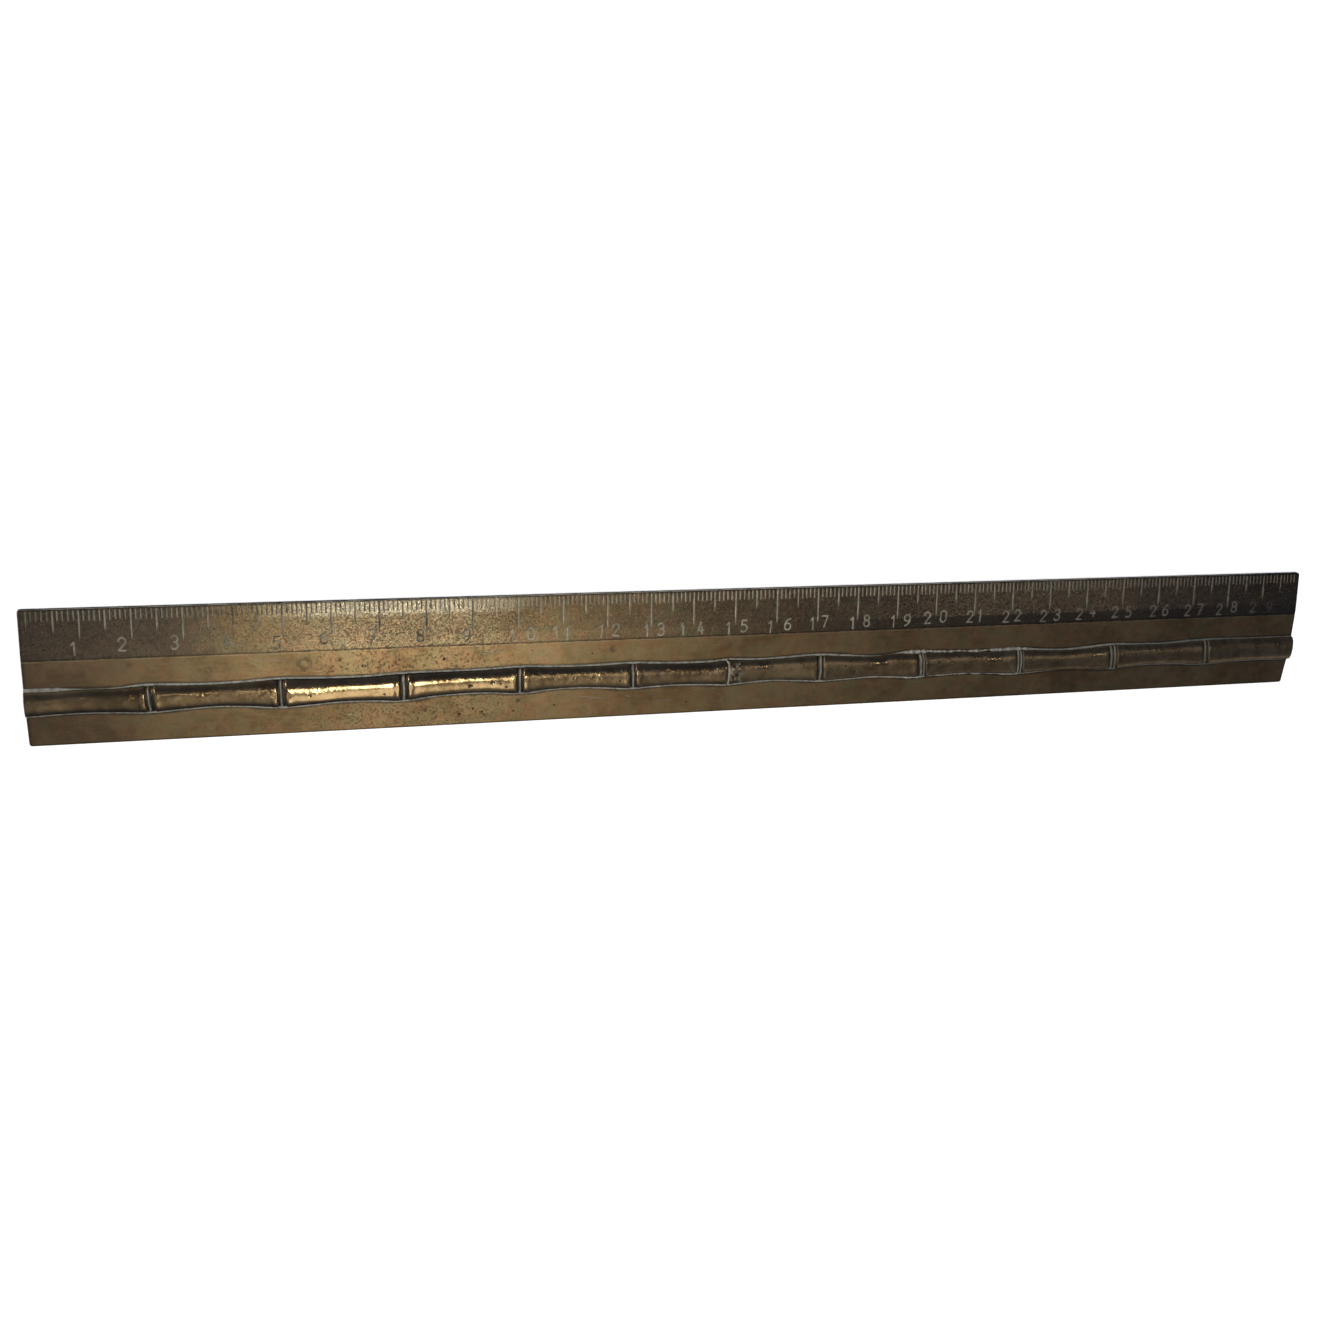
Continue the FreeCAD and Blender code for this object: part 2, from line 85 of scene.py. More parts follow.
# Reach of the two solder seams, along each rod.
LEFT_UPPER = (
    (0, 16.75), (10, 16.85), (17, 16.95), (24, 16.5), (31, 16.75), (38, 16.85), (45, 16.6),
    (50, 16.35), (60, 16.6), (68, 16.65), (76, 16.3), (88, 16.25), (95, 16.2), (102, 15.95),
    (109, 16.2), (115, 16.35), (121, 16.3), (127, 16.15), (134, 16.45), (140, 16.65), (146, 16.65),
    (150.4, 16.3),
)
LEFT_LOWER = (
    (0, 22.4), (10, 22.05), (17, 22.25), (24, 22.6), (31, 22.2), (38, 21.95), (44, 22.3),
    (50, 22.85), (57, 22.6), (62, 22.25), (70, 22.35), (76, 22.7), (82, 22.0), (88, 21.65),
    (95, 21.7), (102, 22.2), (108, 21.65), (115, 21.45), (121, 21.8), (127, 22.25), (133, 22.0),
    (138, 21.9), (144, 22.1), (150.4, 22.5),
)
RIGHT_UPPER = (
    (150, 16.25), (157, 16.55), (164, 16.4), (172, 16.1), (180, 16.6), (186, 17.0), (194, 16.5),
    (198, 16.45), (207, 16.7), (215, 16.85), (224, 16.75), (231, 17.2), (237, 17.4), (243, 17.1),
    (250, 16.6), (258, 16.85), (265, 16.9), (271, 16.6), (277, 16.4), (290, 16.5), (302, 16.5),
)
RIGHT_LOWER = (
    (150, 22.5), (155, 22.1), (160, 21.85), (167, 22.2), (173, 22.6), (179, 22.45), (186, 22.15),
    (192, 22.45), (198, 22.8), (204, 22.5), (210, 22.35), (217, 22.7), (225, 23.1), (231, 22.8),
    (237, 22.6), (244, 22.8), (250, 23.05), (260, 22.3), (268, 22.4), (276, 22.9), (288, 22.4),
    (302, 22.55),
)
UPPER_SEAM_LEFT, LOWER_SEAM_LEFT = curve(LEFT_UPPER), curve(LEFT_LOWER)
UPPER_SEAM_RIGHT, LOWER_SEAM_RIGHT = curve(RIGHT_UPPER), curve(RIGHT_LOWER)
# The seams of both rods in one, for the dirt on the plate.
UPPER_SEAM = LEFT_UPPER[:-1] + RIGHT_UPPER
LOWER_SEAM = LEFT_LOWER[:-1] + RIGHT_LOWER
# Visible width of the solder along each seam.
UPPER_BEAD = curve((
    (0, 0.85), (7, 0.8), (9, 0.42), (24, 0.5), (40, 0.45), (70, 0.38), (102, 0.4), (127, 0.42),
    (148, 0.4), (156, 0.36), (172, 0.42), (183, 0.3), (186, 0.12), (192, 0.12), (195, 0.75),
    (199, 0.8), (204, 0.5), (212, 0.55), (219, 0.85), (225, 0.7), (229, 0.42), (240, 0.5),
    (248, 0.55), (254, 0.45), (264, 0.4), (277, 0.5), (284, 0.34), (302, 0.28),
))
LOWER_BEAD = curve((
    (0, 0.34), (24, 0.36), (50, 0.44), (76, 0.42), (102, 0.38), (127, 0.42), (150, 0.42),
    (173, 0.4), (198, 0.42), (216, 0.34), (226, 0.4), (234, 0.16), (250, 0.18), (262, 0.3),
    (277, 0.36), (302, 0.26),
))
# How uneven the solder is.
BEAD_ROUGH = curve((
    (0, 0.25), (100, 0.2), (150, 0.3), (190, 0.4), (196, 1.0), (226, 1.0), (232, 0.4), (302, 0.3),
))

# Each node of the cane: its place, how far it leans from one seam to the other, its grooves
# (offset, half width, depth) and its pale lines of residue (offset, half width).
LEFT_NODES = (
    (24.1, 0.25, ((-0.42, 0.26, 0.26), (0.62, 0.44, 0.30)), ((0.06, 0.20),)),
    (50.7, 0.10, ((-0.50, 0.30, 0.26), (0.56, 0.34, 0.30)), ((0.02, 0.22),)),
    (76.4, 0.05, ((-0.60, 0.30, 0.28), (0.62, 0.30, 0.28)), ((0.02, 0.26),)),
    (101.9, -0.05, ((-0.58, 0.28, 0.28), (0.42, 0.26, 0.26)), ((-0.08, 0.22),)),
    (127.6, 0.10, ((-0.46, 0.24, 0.26), (0.48, 0.22, 0.24)), ((0.02, 0.24),)),
)
RIGHT_NODES = (
    (172.7, 0.10, ((-0.52, 0.34, 0.30), (0.60, 0.26, 0.22)), ((0.06, 0.24),)),
    (198.3, 0.55, ((-0.56, 0.36, 0.30), (0.52, 0.20, 0.14), (1.10, 0.20, 0.14)),
     ((0.06, 0.24), (0.80, 0.20))),
    (224.3, 0.50, ((-0.50, 0.26, 0.20), (0.30, 0.22, 0.16), (0.95, 0.22, 0.16)),
     ((-0.12, 0.20), (0.62, 0.20))),
    (249.8, 0.60, ((-0.60, 0.30, 0.22), (0.45, 0.26, 0.18), (1.30, 0.26, 0.18)),
     ((-0.10, 0.24), (0.92, 0.24))),
    (276.6, 0.60, ((-0.62, 0.30, 0.22), (0.50, 0.34, 0.20)), ((-0.10, 0.26),)),
)
# Pits in the castings: place, reach, radius, depth.
LEFT_PITS = (
    (56.4, 20.1, 0.22, 0.07), (72.0, 20.6, 0.20, 0.06), (90.8, 19.6, 0.32, 0.10),
    (95.7, 18.9, 0.34, 0.10), (97.6, 19.3, 0.18, 0.06), (44.6, 20.4, 0.18, 0.05),
    (98.8, 20.2, 0.2, 0.06), (109.4, 18.9, 0.2, 0.06), (113.9, 18.8, 0.24, 0.07),
    (119.9, 19.2, 0.2, 0.06), (124.6, 20.0, 0.2, 0.05), (35.0, 18.9, 0.22, 0.05),
)
RIGHT_PITS = (
    (278.2, 17.5, 0.42, 0.16), (151.6, 17.4, 0.36, 0.10), (152.4, 19.8, 0.44, 0.13),
    (151.5, 20.6, 0.3, 0.1), (179.0, 18.8, 0.3, 0.06), (181.5, 20.2, 0.26, 0.06),
    (203.0, 19.0, 0.4, 0.06),
)
# How much fine chatter the surface shows along each rod.
CHATTER = curve((
    (0, 0.6), (20, 0.9), (23, 1.0), (27, 0.3), (44, 0.4), (47, 1.2), (49, 1.2), (52, 0.03),
    (70, 0.05), (74, 0.5), (76, 0.3), (78, 0.03), (97, 0.04), (102, 1.4), (106, 2.2), (122, 2.2),
    (128, 0.8), (134, 1.2), (141, 2.2), (149, 2.2), (155, 0.8), (165, 0.2), (200, 0.08),
    (302, 0.08),
))
# How far the crown leans away from the scale, along the rods.
SKEW = curve((
    (0, 0.0), (22, 0.0), (30, -0.1), (50, 0.35), (58, 0.5), (66, 0.15), (76, -0.1), (98, -0.25),
    (104, -0.3), (120, -0.25), (128, -0.2), (150, -0.25), (200, -0.2), (302, 0.0),
))
# How much painted shade darkens the steep flank on the scale's side, along the rods.
FLANK_SHADE = curve((
    (0, 0.45), (20, 0.55), (26, 0.75), (48, 0.8), (52, 1.0), (100, 1.0), (104, 0.85), (150, 0.8),
    (160, 0.6), (200, 0.5), (230, 0.3), (302, 0.2),
))
SCROLL_PLACE, SCROLL_WIDTH = 151.9, 1.5      # the untidy casting flaw beside the butt
BUTT = 150.2                                 # place of the solder between the rods
BUTT_GAP = 0.30
LEFT_SPAN, RIGHT_SPAN = (0.0, BUTT - BUTT_GAP / 2), (BUTT + BUTT_GAP / 2, LENGTH)
# Rubbed spots where the rib catches something small and bright in the room: place, reach, how far
# the metal there is tilted towards the scale, length and depth of the source in metres.
GLINTS = (
    (158.6, 18.0, 0.16, 0.016, 0.004), (187.9, 18.4, 0.15, 0.014, 0.004),
    (217.7, 18.65, 0.15, 0.016, 0.004), (245.5, 18.75, 0.15, 0.020, 0.003),
    (29.0, 18.3, 0.14, 0.016, 0.004),
)


class Noise:
    """Smooth value noise over a plane, from -1 to 1, the same at every run."""

    def __init__(self, seed, cells=512):
        self.grid = np.random.RandomState(seed).rand(cells, cells) * 2 - 1
        self.cells = cells

    def __call__(self, x, y, octaves=1):
        total = np.zeros(np.broadcast(x, y).shape)
        share = 1.0
        for octave in range(octaves):
            total += share * self.layer(np.asarray(x) * 2 ** octave + 17.3 * octave,
                                        np.asarray(y) * 2 ** octave + 5.1 * octave)
            share /= 2
        return total

    def layer(self, x, y):
        xi, yi = np.floor(x).astype(int), np.floor(y).astype(int)
        fx, fy = x - xi, y - yi
        fx, fy = fx * fx * (3 - 2 * fx), fy * fy * (3 - 2 * fy)
        n, g = self.cells, self.grid
        a, b = g[xi % n, yi % n], g[(xi + 1) % n, yi % n]
        c, d = g[xi % n, (yi + 1) % n], g[(xi + 1) % n, (yi + 1) % n]
        return (a * (1 - fx) + b * fx) * (1 - fy) + (c * (1 - fx) + d * fx) * fy


def plate_height(reach):
    """Height of the plate's untouched top at a reach from the scale edge."""
    inward = np.minimum(reach, WIDTH - reach)
    return EDGE + np.minimum(inward / BEVEL, 1.0) * (CROWN - EDGE)


def stations(start, stop, nodes, step=0.16, fine=0.06, near=1.9, after_start=1.2, before_stop=1.6):
    """Places along a rod, closer together at its nodes and ends."""
    found = [start]
    while found[-1] < stop - fine / 2:
        x = found[-1]
        at_node = any(abs(x - node[0]) < near for node in nodes)
        at_end = x > stop - before_stop or x < start + after_start
        found.append(min(x + (fine if at_node or at_end else step), stop))
    return np.array(found)


def tube(name, rings, material, node, attributes=None):
    """A closed mesh from rings of points in millimetres, all with the same number of points."""
    rings = np.asarray(rings, float)
    count, around, _ = rings.shape
    points = rings.reshape(-1, 3).copy()
    points[:, 0] -= LENGTH / 2
    points[:, 1] = WIDTH / 2 - points[:, 1]
    points *= MM
    first = np.arange(count - 1)[:, None] * around
    here = np.arange(around)[None, :]
    there = (here + 1) % around
    quads = np.stack([first + here, first + there, first + around + there, first + around + here], -1)
    quads = quads.reshape(-1, 4)
    ends = [points[:around].mean(0), points[-around:].mean(0)]
    total = len(points)
    points = np.vstack([points, ends])
    caps = [(total, (i + 1) % around, i) for i in range(around)]
    last = (count - 1) * around
    caps += [(total + 1, last + i, last + (i + 1) % around) for i in range(around)]
    mesh = bpy.data.meshes.new(name)
    mesh.from_pydata(points.tolist(), [], quads.tolist() + caps)
    for key, values in (attributes or {}).items():
        layer = mesh.attributes.new(key, "FLOAT", "POINT")
        values = np.concatenate([np.asarray(values, float).ravel(), [0.0, 0.0]])
        layer.data.foreach_set("value", values.astype(np.float32))
    smooth = np.ones(len(mesh.polygons), bool)
    smooth[len(quads):] = False
    mesh.polygons.foreach_set("use_smooth", smooth)
    mesh.materials.append(material)
    mesh.update()
    piece = bpy.data.objects.new(name, mesh)
    bpy.context.scene.collection.objects.link(piece)
    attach(piece, "root")
    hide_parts(node)
    return piece


# ---------------------------------------------------------------- node tree helpers

class Tree:
    """A small wrapper that adds shader nodes and links them in one call."""

    def __init__(self, owner):
        owner.use_nodes = True
        self.tree = owner.node_tree
        self.tree.nodes.clear()

    def add(self, kind, **inputs):
        """A node of a kind, with some of its inputs set or linked."""
        node = self.tree.nodes.new(kind)
        for key, value in inputs.items():
            self.feed(node.inputs[key.replace("_", " ")], value)
        return node

    def feed(self, socket, value):
        """Link or set one socket."""
        if isinstance(value, bpy.types.NodeSocket):
            self.tree.links.new(value, socket)
        else:
            socket.default_value = value

    def math(self, operation, *values):
        node = self.tree.nodes.new("ShaderNodeMath")
        node.operation = operation
        for socket, value in zip(node.inputs, values):
            self.feed(socket, value)
        return node.outputs[0]

    def sum(self, *values):
        total = values[0]
        for value in values[1:]:
            total = self.math("ADD", total, value)
        return total

    def product(self, *values):
        total = values[0]
        for value in values[1:]:
            total = self.math("MULTIPLY", total, value)
        return total

    def most(self, *values):
        total = values[0]
        for value in values[1:]:
            total = self.math("MAXIMUM", total, value)
        return total

    def less(self, value):
        """One less a value."""
        return self.math("SUBTRACT", 1.0, value)

    def vector(self, operation, *values):
        node = self.tree.nodes.new("ShaderNodeVectorMath")
        node.operation = operation
        for socket, value in zip(node.inputs, values):
            self.feed(socket, value)
        return node.outputs["Value" if operation in ("DISTANCE", "DOT_PRODUCT") else "Vector"]

    def smooth(self, value, low, high, to_low=0.0, to_high=1.0):
        """Smooth step of a value from low to high."""
        node = self.tree.nodes.new("ShaderNodeMapRange")
        node.interpolation_type = "SMOOTHSTEP"
        for name, given in (("Value", value), ("From Min", low), ("From Max", high),
                            ("To Min", to_low), ("To Max", to_high)):
            self.feed(node.inputs[name], given)
        return node.outputs["Result"]

    def band(self, value, low, high, soft):
        """1 between low and high, falling to 0 over a soft margin."""
        return self.product(self.smooth(value, low - soft, low + soft),
                            self.smooth(value, high - soft, high + soft, 1.0, 0.0))

    def noise(self, vector, scale, detail=3.0, roughness=0.55, distortion=0.0):
        node = self.tree.nodes.new("ShaderNodeTexNoise")
        for name, given in (("Vector", vector), ("Scale", scale), ("Detail", detail),
                            ("Roughness", roughness), ("Distortion", distortion)):
            self.feed(node.inputs[name], given)
        return node.outputs["Fac"]

    def mix(self, share, first, second, blend="MIX"):
        """Mix of two colours."""
        node = self.tree.nodes.new("ShaderNodeMix")
        node.data_type = "RGBA"
        node.blend_type = blend
        self.feed(node.inputs[0], share)
        self.feed(node.inputs[6], first)
        self.feed(node.inputs[7], second)
        return node.outputs[2]

    def rotated(self, vector, angle):
        """A vector turned about the vertical."""
        turned = self.add("ShaderNodeVectorRotate", Vector=vector, Axis=(0.0, 0.0, 1.0), Angle=angle)
        return turned.outputs[0]

    def bump(self, height, strength, distance):
        node = self.tree.nodes.new("ShaderNodeBump")
        self.feed(node.inputs["Height"], height)
        self.feed(node.inputs["Strength"], strength)
        self.feed(node.inputs["Distance"], distance)
        return node.outputs[0]

    def curve(self, x, points):
        """A smooth function of x through the (x, value) points, x being a place along the ruler."""
        values = [value for _, value in points]
        low, span = min(values), max(values) - min(values)
        node = self.tree.nodes.new("ShaderNodeFloatCurve")
        line = node.mapping.curves[0]
        for place, value in points:
            at = (place / LENGTH, (value - low) / span)
            if place in (points[0][0], points[-1][0]):
                line.points[0 if place == points[0][0] else -1].location = at
            else:
                line.points.new(*at)
        node.mapping.update()
        self.feed(node.inputs["Value"], self.math("DIVIDE", x, LENGTH))
        return self.math("MULTIPLY_ADD", node.outputs[0], span, low)

    def attribute(self, name):
        node = self.tree.nodes.new("ShaderNodeAttribute")
        node.attribute_name = name
        return node.outputs["Fac"]

    def surface(self, colour, metal, rough, normal):
        """A principled surface, linked to the material's output."""
        shader = self.tree.nodes.new("ShaderNodeBsdfPrincipled")
        for name, value in (("Base Color", colour), ("Metallic", metal), ("Roughness", rough),
                            ("Normal", normal)):
            self.feed(shader.inputs[name], value)
        output = self.tree.nodes.new("ShaderNodeOutputMaterial")
        self.feed(output.inputs["Surface"], shader.outputs[0])


def rgb(red, green, blue):
    return (red, green, blue, 1.0)


def ruler_coordinates(tree):
    """The shaded point in millimetres: as a vector, and its x, reach and height on the ruler."""
    coordinates = tree.add("ShaderNodeTexCoord").outputs["Object"]
    point = tree.vector("MULTIPLY", coordinates, (1000.0, 1000.0, 1000.0))
    split = tree.add("ShaderNodeSeparateXYZ", Vector=point)
    x = tree.math("ADD", split.outputs[0], LENGTH / 2)
    reach = tree.math("SUBTRACT", WIDTH / 2, split.outputs[1])
    return point, x, reach, split.outputs[2]


# ---------------------------------------------------------------- materials

# Stains on the plate: place, reach, outer radius, inner radius (0 for a full spot), strength.
STAINS = (
    (55.5, 13.3, 1.7, 1.0, 0.42), (63.0, 12.7, 0.5, 0.0, 0.5), (122.8, 12.7, 0.9, 0.0, 0.5),
    (230.0, 12.0, 0.8, 0.0, 0.55), (248.0, 12.4, 0.7, 0.0, 0.5), (238.5, 24.0, 0.8, 0.0, 0.5),
    (101.5, 24.0, 0.55, 0.0, 0.6), (81.0, 25.2, 0.5, 0.0, 0.6), (20.5, 12.2, 0.7, 0.0, 0.35),
    (36.0, 13.9, 0.9, 0.5, 0.35), (150.5, 12.9, 0.6, 0.0, 0.35), (266.0, 13.2, 1.1, 0.7, 0.3),
    (88.0, 7.4, 0.6, 0.0, 0.4), (132.0, 24.9, 0.7, 0.0, 0.35), (172.0, 25.5, 0.8, 0.0, 0.3),
    (206.0, 13.4, 0.7, 0.0, 0.3),
)
# Pits in the plate: place, reach, radius.
PLATE_PITS = (
    (85.2, 13.5, 0.34), (88.5, 26.6, 0.26), (91.5, 25.5, 0.24), (93.5, 26.3, 0.26),
    (94.0, 27.0, 0.2), (100.6, 26.5, 0.26), (109.8, 25.6, 0.22), (60.4, 26.1, 0.18),
    (72.6, 24.6, 0.2), (118.2, 13.6, 0.18), (67.7, 14.4, 0.2), (104.6, 12.4, 0.18),
    (140.7, 26.4, 0.2), (4.6, 8.3, 0.22),
)
# Scratches on the plate: from place and reach, to place and reach, half width.
SCRATCHES = (
    (114.5, 23.6, 122.5, 24.6, 0.10), (64.0, 25.3, 66.5, 25.7, 0.12),
    (126.2, 24.0, 127.6, 24.5, 0.12), (133.0, 25.6, 138.0, 25.8, 0.09),
    (44.0, 12.0, 52.0, 12.4, 0.06), (92.0, 12.8, 99.0, 12.1, 0.06),
)

# Greenish residue in the cuts: place, reach, radius.
GREEN_SPOTS = ((41.5, 8.2, 3.0), (2.2, 3.5, 3.0), (161.5, 6.0, 3.5))


def spot_mask(tree, flat, wander, place, spot, outer, inner=0.0):
    """1 on a spot, or on a ring where there is an inner radius; its outline wanders a little."""
    away = tree.math("MULTIPLY_ADD", wander, outer, tree.vector("DISTANCE", flat, (place, spot, 0.0)))
    mask = tree.smooth(away, outer * 0.55, outer * 1.15, 1.0, 0.0)
    if inner:
        mask = tree.product(mask, tree.smooth(away, inner * 0.75, inner * 1.05))
    return mask


def scratch_mask(tree, x, reach, x0, reach0, x1, reach1, half_width):
    """1 on a straight scratch that tapers at both ends."""
    length = math.hypot(x1 - x0, reach1 - reach0)
    ux, ur = (x1 - x0) / length, (reach1 - reach0) / length
    dx, dr = tree.math("SUBTRACT", x, x0), tree.math("SUBTRACT", reach, reach0)
    along = tree.sum(tree.product(dx, ux), tree.product(dr, ur))
    aside = tree.math("ABSOLUTE", tree.math("SUBTRACT", tree.product(dr, ux), tree.product(dx, ur)))
    taper = tree.product(tree.smooth(along, -0.1, length * 0.3),
                         tree.smooth(along, length * 0.7, length + 0.1, 1.0, 0.0))
    return tree.product(tree.smooth(aside, half_width * 0.4, half_width * 1.3, 1.0, 0.0), taper)


def plate_material():
    """Worn, spotted brass: a grainy stamped band, dull residue in every cut, stains and scratches, with
    painted shade and highlights.
    """
    material = bpy.data.materials.new("plate_brass")
    tree = Tree(material)
    point, x, reach, z = ruler_coordinates(tree)

    # Depth below the untouched surface, from the plate's own section.
    far = tree.math("SUBTRACT", WIDTH, reach)
    rise = CROWN - EDGE
    in_band = tree.math("LESS_THAN", reach, BAND)
    slope = tree.product(tree.math("MINIMUM", tree.math("MINIMUM", reach, far), BEVEL), rise / BEVEL)
    band_slope = tree.product(tree.math("MINIMUM", reach, BEVEL), (rise - BAND_RECESS) / BEVEL)
    untouched = tree.sum(EDGE, tree.product(in_band, band_slope), tree.product(tree.less(in_band), slope))
    depth = tree.math("SUBTRACT", untouched, z)
    upper_side = tree.math("GREATER_THAN", z, EDGE * 0.8)
    groove = tree.product(tree.smooth(depth, 0.02, 0.07), upper_side, tree.math("LESS_THAN", depth, 0.2))

    broad = tree.noise(point, 0.055, 3.0, 0.6)
    mottle = tree.noise(point, 0.5, 5.0, 0.68, 0.4)
    cloud = tree.noise(point, 0.17, 4.0, 0.6, 0.6)
    speckle = tree.noise(point, 1.9, 4.0, 0.78)
    grain = tree.noise(point, 3.4, 3.0, 0.7)
    grit = tree.noise(point, 7.0, 2.0, 0.6)
    brushed = tree.noise(tree.vector("MULTIPLY", point, (0.22, 4.0, 4.0)), 1.0, 4.0, 0.65)
    wander = tree.product(tree.math("SUBTRACT", tree.noise(point, 1.1, 2.0, 0.6), 0.5), 1.3)
    flat = tree.add("ShaderNodeCombineXYZ", X=x, Y=reach, Z=0.0).outputs[0]

    patches = tree.sum(tree.product(broad, 0.5), tree.product(cloud, 0.35), tree.product(mottle, 0.3))
    colour = tree.mix(tree.smooth(patches, 0.42, 0.72), rgb(0.215, 0.140, 0.066), rgb(0.385, 0.265, 0.130))
    colour = tree.mix(tree.product(tree.smooth(brushed, 0.42, 0.7), 0.22), colour, rgb(0.47, 0.33, 0.16))
    # Spotted tarnish, strongest over the first third.
    spotted = tree.sum(0.30, tree.product(tree.band(x, 52.0, 100.0, 14.0), 0.55))
    tarnish = tree.product(tree.smooth(speckle, 0.50, 0.66), spotted)
    colour = tree.mix(tarnish, colour, rgb(0.14, 0.085, 0.042))
    # Warmer where hands have polished it.
    warm = tree.product(tree.band(x, 38.0, 52.0, 6.0), tree.band(reach, 1.0, 8.5, 1.5),
                        tree.smooth(cloud, 0.40, 0.60), 0.35)
    colour = tree.mix(warm, colour, rgb(0.50, 0.30, 0.10))
    green = tree.product(tree.smooth(cloud, 0.54, 0.68), tree.smooth(mottle, 0.45, 0.6), 0.30)
    colour = tree.mix(green, colour, rgb(0.15, 0.16, 0.085))
    # Pale rubbed metal along the scale, with a painted highlight along the brightly lit stretch.
    rubbed_and_sheen = tree.product(tree.smooth(reach, 2.4, 3.8, 0.8, 0.12), tree.smooth(grain, 0.40, 0.56, 0.3, 1.0),
                          tree.band(x, 52.0, 98.0, 10.0), in_band)
    # Cross strokes of a file, slanting, towards the low numbers.
    turned = tree.vector("MULTIPLY", tree.rotated(point, 0.42), (0.16, 2.4, 2.4))
    filed = tree.product(tree.smooth(tree.noise(turned, 1.0, 3.0, 0.6), 0.46, 0.66),
                         tree.band(x, 26.0, 62.0, 9.0), tree.smooth(reach, 15.5, 16.5, 1.0, 0.0),
                         tree.smooth(cloud, 0.42, 0.56))
    colour = tree.mix(tree.product(filed, 0.20), colour, rgb(0.50, 0.37, 0.20))
    # A faint pink and green tint in soft patches.
    blotch = tree.mix(tree.smooth(tree.noise(point, 0.32, 3.0, 0.6, 0.3), 0.38, 0.62),
                      rgb(1.10, 0.95, 0.90), rgb(0.90, 1.03, 0.98))
    colour = tree.mix(0.6, colour, tree.mix(1.0, colour, blotch, "MULTIPLY"))
    # The stamped band is darker and rough.
    pores = tree.smooth(tree.noise(point, 2.6, 3.0, 0.8, 0.5), 0.47, 0.62)
    pored = tree.sum(0.14, tree.product(pores, tree.smooth(x, 130.0, 210.0, 0.30, 0.12)))
    pored = tree.product(in_band, pored)
    colour = tree.mix(pored, colour, rgb(0.085, 0.072, 0.050))
    # Painted shade: the band darker on both sides of the brightly lit stretch.
    band_shade = tree.sum(tree.smooth(x, 80.0, 200.0, 0.0, 0.60), tree.smooth(x, 24.0, 56.0, 0.60, 0.0))
    colour = tree.mix(tree.product(in_band, band_shade), colour, rgb(0.075, 0.070, 0.060))
    # Painted shade: the whole plate darker towards the left end.
    colour = tree.mix(tree.smooth(x, 0.0, 58.0, 0.42, 0.0), colour, rgb(0.110, 0.085, 0.065))
    colour = tree.mix(rubbed_and_sheen, colour, rgb(0.84, 0.73, 0.50))
    # Dirt and painted shade along the solder, where the rods meet the plate.
    dirt_and_shade = 0.0
    for seam, toward in ((UPPER_SEAM, 1.0), (LOWER_SEAM, -1.0)):
        away = tree.product(tree.math("SUBTRACT", tree.curve(x, seam), reach), toward)
        dirt_and_shade = tree.most(dirt_and_shade, tree.product(tree.band(away, -0.6, 0.55, 0.22),
                                            tree.smooth(mottle, 0.3, 0.55, 0.55, 1.0)))
    colour = tree.mix(tree.product(dirt_and_shade, 0.72), colour, rgb(0.050, 0.044, 0.036))
    # Painted shade at the band's step, along the long edges and on the two ends, and a painted highlight
    # along the rim of the step.
    ragged = tree.math("ADD", reach, tree.product(tree.math("SUBTRACT", mottle, 0.5), 0.5))
    rim_shade = tree.product(tree.band(ragged, BAND - 0.28, BAND + 0.04, 0.08), 0.75)
    rim_highlight = tree.product(tree.band(ragged, BAND + 0.14, BAND + 0.30, 0.06),
                            tree.smooth(brushed, 0.40, 0.55), 0.6)
    edge_shade = tree.product(tree.most(tree.smooth(ragged, 0.25, 0.55, 1.0, 0.0),
                                       tree.smooth(ragged, WIDTH - 0.55, WIDTH - 0.20)), 0.65)
    ends = tree.product(tree.most(tree.smooth(x, 0.3, 0.9, 1.0, 0.0),
                                  tree.smooth(x, LENGTH - 0.8, LENGTH - 0.2)), 0.5)
    colour = tree.mix(rim_highlight, colour, rgb(0.55, 0.42, 0.24))
    colour = tree.mix(tree.most(rim_shade, edge_shade, ends), colour, rgb(0.060, 0.048, 0.032))

    stained = 0.0
    for *spot, strength in STAINS:
        stained = tree.most(stained, tree.product(spot_mask(tree, flat, wander, *spot), strength))
    pitted = 0.0
    for pit in PLATE_PITS:
        pitted = tree.most(pitted, spot_mask(tree, flat, wander, *pit))
    scored = 0.0
    for scratch in SCRATCHES:
        scored = tree.most(scored, scratch_mask(tree, x, reach, *scratch))
    stained, pitted, scored = (tree.product(mask, upper_side) for mask in (stained, pitted, scored))
    colour = tree.mix(stained, colour, rgb(0.080, 0.060, 0.038))
    colour = tree.mix(tree.product(scored, 0.7), colour, rgb(0.42, 0.40, 0.33))
    colour = tree.mix(tree.product(pitted, 0.9), colour, rgb(0.030, 0.028, 0.024))

    # Chalky residue in the cuts, rubbed out towards both ends and greenish in places.
    kept = tree.product(tree.smooth(x, 1.0, 9.0, 0.55, 1.0), tree.smooth(x, 282.0, 296.0, 1.0, 0.35),
                        tree.smooth(mottle, 0.30, 0.46, 0.72, 1.0))
    filled = tree.product(groove, kept)
    chalk = tree.mix(tree.smooth(mottle, 0.4, 0.62), rgb(0.50, 0.455, 0.335), rgb(0.80, 0.74, 0.57))
    tint = tree.most(*(spot_mask(tree, flat, wander, *spot) for spot in GREEN_SPOTS),
                     tree.product(tree.smooth(cloud, 0.56, 0.66), 0.7))
    chalk = tree.mix(tree.product(tint, 0.5), chalk, rgb(0.40, 0.52, 0.38))
    # Painted shade on the residue towards the right end and towards the left end.
    chalk = tree.mix(tree.smooth(x, 150.0, 300.0, 0.0, 0.78), chalk, rgb(0.13, 0.12, 0.10))
    chalk = tree.mix(tree.smooth(x, 28.0, 42.0, 0.45, 0.0), chalk, rgb(0.22, 0.20, 0.15))
